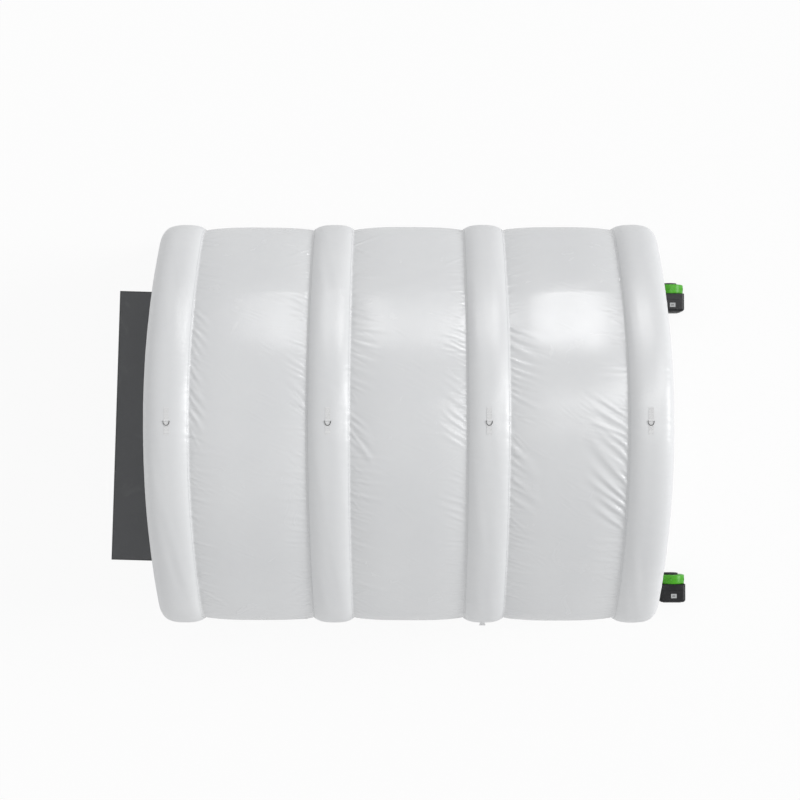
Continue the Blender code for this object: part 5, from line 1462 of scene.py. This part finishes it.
def add_outlet(name, at):
    """Flange with its round collar and four bosses, about the collar's axis."""
    side, soft = 2 * (COLLAR_RADIUS + OUTLET_RIM), 0.0006
    bore, back = COLLAR_RADIUS - CASING_SKIN, -DUCT_LENGTH - GAP
    front = back - OUTLET_PLATE
    rows = np.array([(0, 0, front), (1, soft, front), (1, 0, front + soft), (1, 0, back - soft), (1, soft, back),
                     (0, 0, back), (0, 0, front)])
    outline = closed_path(rounded_path(side, side, CASING_ROUNDING, 128)[0])

    def place(u, v):
        full, inset, x = rows[row_at(rows, u)].T
        edge = along_path(outline, v)
        far = np.hypot(*edge.T)
        scale = np.where(full > 0, (far - inset) / far, bore / far)
        return np.stack([x, edge[:, 0] * scale, edge[:, 1] * scale], 1) + np.array(at)
    end = -DUCT_LENGTH - COLLAR_LENGTH
    bead = [(COLLAR_RADIUS + 0.0015 * math.sin(t), end + 0.004 - 0.004 * math.cos(t))
            for t in np.linspace(0, math.pi, 8)]
    collar = [(bore, end), *bead, (COLLAR_RADIUS, front - 0.002), (COLLAR_RADIUS + 0.002, front + 0.001),
              (bore, front + 0.001)]
    boss = [(0, front - 0.002), (0.003, front - 0.002), (0.0038, front - 0.0012), (0.0038, front + 0.001),
            (0, front + 0.001)]
    meshes = [grid_mesh(f"{name}_flange", len(rows) - 1, 128, place, (0.14, 4 * side), closed=True),
              lathe("collar", collar, 48, at, "X")]
    for a in (-1, 1):
        for b in (-1, 1):
            meshes.append(lathe("boss", boss, 16, at + (side / 2 - 0.009) * Vector((0, a, b)), "X"))
    add_joined(f"{name}_outlet_collar", meshes, green, f"{name}_outlet")


for name, at in BLOWERS.items():
    add_casing(name, at)
    add_outlet(name, Vector((*at.xy, AXIS_HEIGHT - COLLAR_DROP)))

# Intake guards. A domed guard of black plastic snaps on to the rim of the intake eye. It
# has a rounded rim, three round hoops, eight spokes and a small centre disc.
GUARD_RIM = 0.010
GUARD_RISE = 0.018
GUARD_BAR = 0.004
GUARD_SOFT = 0.004
HOOP_SHARES = (0.25, 0.50, 0.75)
HOOP_WIRE = 0.0017
SPOKES = 8
SPOKE_WIRE = 0.0018
SPOKE_DROP = 0.0019
seat = CASING_HALF + GAP
top = seat + GUARD_RISE
rim = INLET_RADIUS + GUARD_RIM
soft = [(rim - GUARD_SOFT * (1 - math.sin(t)), top - GUARD_SOFT * (1 - math.cos(t))) for t in QUARTER]
rim_rows = [(INLET_RADIUS, seat), (rim, seat), (rim, seat + 0.003), (rim - 0.001, seat + 0.004), *soft[::-1],
            (INLET_RADIUS + 0.001, top), (INLET_RADIUS, top - 0.001)]
disc_rows = [(0, top - GUARD_BAR), (0.016, top - GUARD_BAR), (0.0175, top - 0.002), (0.016, top), (0, top + 0.001)]
for name, at in BLOWERS.items():
    meshes = [lathe("rim", rim_rows, 96, at)]
    for share in HOOP_SHARES:
        wire = [(INLET_RADIUS * share + HOOP_WIRE * math.cos(t), top - SPOKE_DROP + HOOP_WIRE * math.sin(t))
                for t in np.linspace(0, 2 * math.pi, 9)[:-1]]
        meshes.append(lathe("hoop", wire, 72, at))
    meshes.append(lathe("disc", disc_rows, 40, at))
    for spoke in range(SPOKES):
        mesh = bpy.data.meshes.new("spoke")
        with edit(mesh) as bm:
            bmesh.ops.create_cone(bm, cap_ends=True, segments=10, radius1=SPOKE_WIRE, radius2=SPOKE_WIRE,
                                  depth=INLET_RADIUS - 0.012)
            bmesh.ops.translate(bm, verts=bm.verts, vec=(0, 0, (INLET_RADIUS + 0.016) / 2))
            turned = Matrix.Rotation(2 * math.pi * (spoke + 0.5) / SPOKES, 4, "Y")
            bm.transform(Matrix.Translation(at + Vector((0, top - SPOKE_DROP, 0))) @ turned)
        meshes.append(mesh)
    add_joined(f"{name}_intake_guard", meshes, black, f"{name}_guard")

# Wheels. A squirrel-cage wheel is moulded in black plastic: a back plate with a hub, twenty
# curved blades and a front ring. It is pressed on to the motor's shaft.
WHEEL_RADIUS = 0.085
WHEEL_RIM = 0.010
WHEEL_PLATE = 0.002
WHEEL_BACK = -CASING_HALF + CASING_SKIN + 0.004
WHEEL_FRONT = CASING_HALF - CASING_SKIN - 0.004
HUB_RADIUS = 0.014
HUB_LENGTH = 0.028
HUB_BORE = 0.0063
BLADES = 20
BLADE_SKIN = 0.0012
RING_SOFT = 0.0008
ring = WHEEL_RADIUS - WHEEL_RIM
plate_rows = [(HUB_BORE, 0), (WHEEL_RADIUS - 0.001, 0), (WHEEL_RADIUS, 0.001), (WHEEL_RADIUS - 0.001, WHEEL_PLATE),
              (HUB_RADIUS + 0.004, WHEEL_PLATE), (HUB_RADIUS, 0.006), (HUB_RADIUS - 0.001, HUB_LENGTH),
              (HUB_BORE, HUB_LENGTH)]
ring_rows = [(ring, -0.003), (WHEEL_RADIUS, -0.003), (WHEEL_RADIUS, -RING_SOFT), (WHEEL_RADIUS - RING_SOFT, 0),
             (ring + RING_SOFT, 0), (ring, -RING_SOFT)]
for name, at in BLOWERS.items():
    meshes = [lathe("plate", plate_rows, 90, at + Vector((0, WHEEL_BACK, 0))),
              lathe("ring", ring_rows, 90, at + Vector((0, WHEEL_FRONT, 0)))]
    for blade in range(BLADES):
        def place(u, v):
            radius = WHEEL_RADIUS - 0.0012 - (WHEEL_RIM - 0.002) * u
            turn = 2 * math.pi * blade / BLADES + 0.085 * u - 0.05 * u * u
            along = WHEEL_BACK + 0.001 + (WHEEL_FRONT - WHEEL_BACK - 0.003) * v
            return np.stack([radius * np.cos(turn), along, radius * np.sin(turn)], 1) + np.array(at)
        meshes.append(grid_mesh("blade", 6, 1, place, (WHEEL_RIM, 0.08)))
        thicken(meshes[-1], BLADE_SKIN)
    add_joined(f"{name}_squirrel_wheel", meshes, black, f"{name}_wheel", body=f"{name}_rotor")

# Motor housings. A black moulded hood screws to the back of the casing and covers the
# motor. It has large soft corners, a split line round its middle, a raised rib along the
# top and a vent grille in its end. The steel motor, the foot plate and the switch are CAD.
HOUSING_LENGTH = 0.195
HOUSING_WIDTH = 0.285
HOUSING_HEIGHT = 0.30
HOUSING_CORNER = 0.045
HOUSING_TAPER = 0.03
HOUSING_SHIFT = 0.0075
HOUSING_INSET = 0.036
HOUSING_SPLIT = -0.118
VENT_COUNT = 6
VENT_PITCH = 0.020
VENT_WIDTH = 0.007
VENT_HALF = 0.05
HOOD_STEPS = 240
HOOD_SKIN = 0.003
HOOD_START = -CASING_HALF - GAP
HOOD_END = HOOD_START - HOUSING_LENGTH
RIB_X = -0.0315
GRILLE_SKIN = 0.004


def hood_rows():
    """Section of the hood's wall (inset, y): its rim's groove, the split line, the rounded end
    as far as the grille, and the inner side."""
    start, split, end = HOOD_START, HOUSING_SPLIT, HOOD_END
    rows = [(0.0, start), (0.0, start - 0.004), (0.0012, start - 0.005), (0.0012, start - 0.008),
            (0.0, start - 0.009), (0.0, split + 0.0025), (0.0018, split + 0.0012), (0.0018, split - 0.0012),
            (0.0, split - 0.0025)]
    rows += [(HOUSING_INSET * (1 - math.sqrt(1 - t * t)), end + HOUSING_TAPER * (1 - t))
             for t in np.linspace(0, 1, 14)]
    rows += [(HOUSING_INSET + 0.006, end), (0.10, end), (0.10, end + HOOD_SKIN),
             (HOUSING_INSET + HOOD_SKIN, end + HOOD_SKIN), (0.012, end + HOUSING_TAPER),
             (HOOD_SKIN, end + HOUSING_TAPER + 0.02), (HOOD_SKIN, start)]
    return np.array(rows + rows[:1])


def hood_surface(centre):
    """Point on a hood for shares round its wall's section and round the hood."""
    path = closed_path(rounded_path(HOUSING_WIDTH, HOUSING_HEIGHT, HOUSING_CORNER, HOOD_STEPS)[0])
    normal = outward(path)
    rows = hood_rows()
    furthest = HOUSING_CORNER * 0.9

    def place(u, v):
        row = row_at(rows, u)
        inset, along = rows[row].T
        flat = along_path(path, v) - normal[row_at(normal, v)] * np.minimum(inset, furthest)[:, None]
        deep = np.clip(inset - furthest, 0, None)[:, None]
        flat = flat * np.clip(1 - deep / 0.10, 0.02, 1)
        on_top = (row > 9) & (row < 18) & (flat[:, 1] > HOUSING_HEIGHT / 2 - 0.03)
        rib = 0.0016 * np.exp(-((flat[:, 0] - RIB_X) / 0.003) ** 2) * on_top
        return np.stack([flat[:, 0], along, flat[:, 1] + rib], 1) + centre
    return place, len(rows) - 1, path_length(path)


def hood_grille(name, centre):
    """Flat grille with upright slots over the end of a hood."""
    half_x, half_z = HOUSING_WIDTH / 2 - HOUSING_INSET - 0.012, HOUSING_HEIGHT / 2 - HOUSING_INSET - 0.020
    slots = [(k - (VENT_COUNT - 1) / 2) * VENT_PITCH for k in range(VENT_COUNT)]
    lines_x = np.array(sorted([-half_x, half_x] + [x + d * VENT_WIDTH / 2 for x in slots for d in (-1, 1)]))
    lines_z = np.array([-half_z, -VENT_HALF, VENT_HALF, half_z])

    def place(u, v):
        x, z = lines_x[row_at(lines_x, u)], lines_z[row_at(lines_z, v)]
        return np.stack(np.broadcast_arrays(x, HOOD_END - 0.0012, z), 1) + centre

    def in_slots(middles):
        off_x = np.abs(middles[:, :1] - centre[0] - slots).min(1)
        return (np.abs(middles[:, 2] - centre[2]) < VENT_HALF) & (off_x < VENT_WIDTH / 3)
    grille = grid_mesh(name, len(lines_x) - 1, len(lines_z) - 1, place, (0.2, 0.2), faces_up=(0, -1, 0))
    thicken(cut_hole(grille, in_slots), -GRILLE_SKIN)
    return grille


for name, at in BLOWERS.items():
    centre = np.array(at) + [HOUSING_SHIFT, 0, HOUSING_HEIGHT / 2 - SCROLL_LARGE]
    place, steps, girth = hood_surface(centre)
    meshes = [grid_mesh(f"{name}_hood", steps, HOOD_STEPS, place, (0.6, girth), closed=True),
              hood_grille(f"{name}_grille", centre)]
    add_joined(f"{name}_motor_hood", meshes, black, f"{name}_housing", 30)
    for node, surface in (("motor", motor_steel), ("stand", rubber), ("switch_plate", grey_plastic),
                          ("rocker", rocker_plastic)):
        bpy.data.objects[f"{name}_{node}"].data.materials[0] = surface

# Air sleeves. A short sleeve of the arch cloth is pushed over each blower's collar and
# gathered under a black webbing strap with a plastic buckle. It widens to its port, where
# a sewn flange joins it to the ground tube or to the rear wall.
SLEEVE_SKIN = 0.002
SLEEVE_FLARE = 0.078
SLEEVE_OUTER = COLLAR_RADIUS + GAP + SLEEVE_SKIN
SLEEVE_MIDDLE = 0.065
STRAP_WIDTH = 0.022
STRAP_SKIN = 0.002
BUCKLE = 0.020
PORTS = {"frame_blower": (LENGTH / 2 + BASE_DOME + GAP, -1.765, 0.150), "supply_blower": (WALL_FACE, 1.46, 0.150)}

sleeve_cloth = coated_cloth("sleeve_cloth", PEARL_LIGHT, PEARL_DARK, 0.5, 900.0)
strap_web, s = new_material("strap_web", 0.7, Sheen_Weight=0.1)
place, uv, tone = coordinates(s, 20.0)
weave = s.group(WEAVE, Vector=uv, Threads=900.0)
colour = s.mix(tone["Tone"], (0.020, 0.020, 0.021), (0.036, 0.036, 0.038))
s.principled(Base_Color=s.mix(s.times(weave["Height"], 0.3), colour, (0.07, 0.07, 0.072)),
             Normal=s.bump(s.times(weave["Height"], 0.0003), 0.8))


def air_sleeve(at, port, begin, strap_x):
    """Point on a sleeve for shares round it and along it, from the collar to its port."""
    bend = at.x - DUCT_LENGTH - COLLAR_LENGTH
    small = SLEEVE_OUTER - 0.0006

    def place(u, v):
        x = begin + (port[0] - begin) * v
        over = ease(np.clip((bend - x) / (bend - port[0]), 0, 1))
        turn = 2 * math.pi * u
        free = np.clip((bend - x) / 0.02, 0, 1) * np.clip((x - port[0]) / 0.012, 0, 1)
        gather = np.cos(turn * 13 + 1.3 * np.sin(3 * turn)) * np.exp(-((x - bend) / 0.045) ** 2)
        slack = wander(x + 0.012 * np.sin(2 * turn), 0.018, 501) * np.sin(turn + 0.6)
        radius = small + (SLEEVE_FLARE - small) * over + free * (0.0028 * gather - 0.0012 + 0.0022 * slack)
        radius = radius - 0.0006 * np.exp(-((x - strap_x) / 0.010) ** 4)
        radius = radius + 0.0010 * np.exp(-((x - begin) / 0.003) ** 2)
        y, z = (at[k] + (port[k] - at[k]) * over for k in (1, 2))
        return np.stack([x, y + radius * np.cos(turn), z + radius * np.sin(turn)], 1)
    return place


for name, centre in BLOWERS.items():
    at = Vector((*centre.xy, AXIS_HEIGHT - COLLAR_DROP))
    port = PORTS[name]
    begin = at.x - DUCT_LENGTH - GAP - OUTLET_PLATE - SLEEVE_SKIN
    strap_x = at.x - DUCT_LENGTH - COLLAR_LENGTH / 2
    flat = (2 * math.pi * SLEEVE_MIDDLE, math.dist((begin, at.y, at.z), port))
    mesh = grid_mesh(f"{name}_air_sleeve", 160, 90, air_sleeve(at, port, begin, strap_x), flat)
    with edit(mesh) as bm:
        bmesh.ops.recalc_face_normals(bm, faces=bm.faces)
        bm.faces.ensure_lookup_table()
        off = bm.faces[0].calc_center_median() - at
        if bm.faces[0].normal.yz.dot(off.yz) < 0:
            bmesh.ops.reverse_faces(bm, faces=bm.faces)
    sleeve = add_piece(mesh.name, mesh, sleeve_cloth, f"{name}_sleeve")

    half, outer = STRAP_WIDTH / 2, SLEEVE_OUTER + STRAP_SKIN * 0.9
    band = [(SLEEVE_OUTER, -half), (outer, -half + 0.0006), (outer, half - 0.0006), (SLEEVE_OUTER, half)]
    mesh = lathe(f"{name}_band", band, 72, (strap_x, at.y, at.z), "X")
    strap = add_piece(f"{name}_sleeve_strap", mesh, strap_web, sharp=40)
    mesh = bpy.data.meshes.new(f"{name}_buckle")
    with edit(mesh) as bm:
        bmesh.ops.create_cube(bm, size=1.0)
        bmesh.ops.scale(bm, verts=bm.verts, vec=(STRAP_WIDTH + 2 * STRAP_SKIN, BUCKLE, 3 * STRAP_SKIN))
        top = max(bm.faces, key=lambda face: face.calc_center_median().z)
        bmesh.ops.inset_individual(bm, faces=[top], thickness=0.003, depth=0.0)
        bmesh.ops.translate(bm, verts=top.verts, vec=(0, 0, -0.002))
        bmesh.ops.bevel(bm, geom=bm.edges[:], offset=0.0008, segments=2, affect="EDGES", profile=0.5, material=-1)
        bmesh.ops.translate(bm, verts=bm.verts, vec=(strap_x, at.y, at.z + SLEEVE_OUTER + 2 * STRAP_SKIN))
    buckle = add_piece(mesh.name, mesh, black, sharp=30)
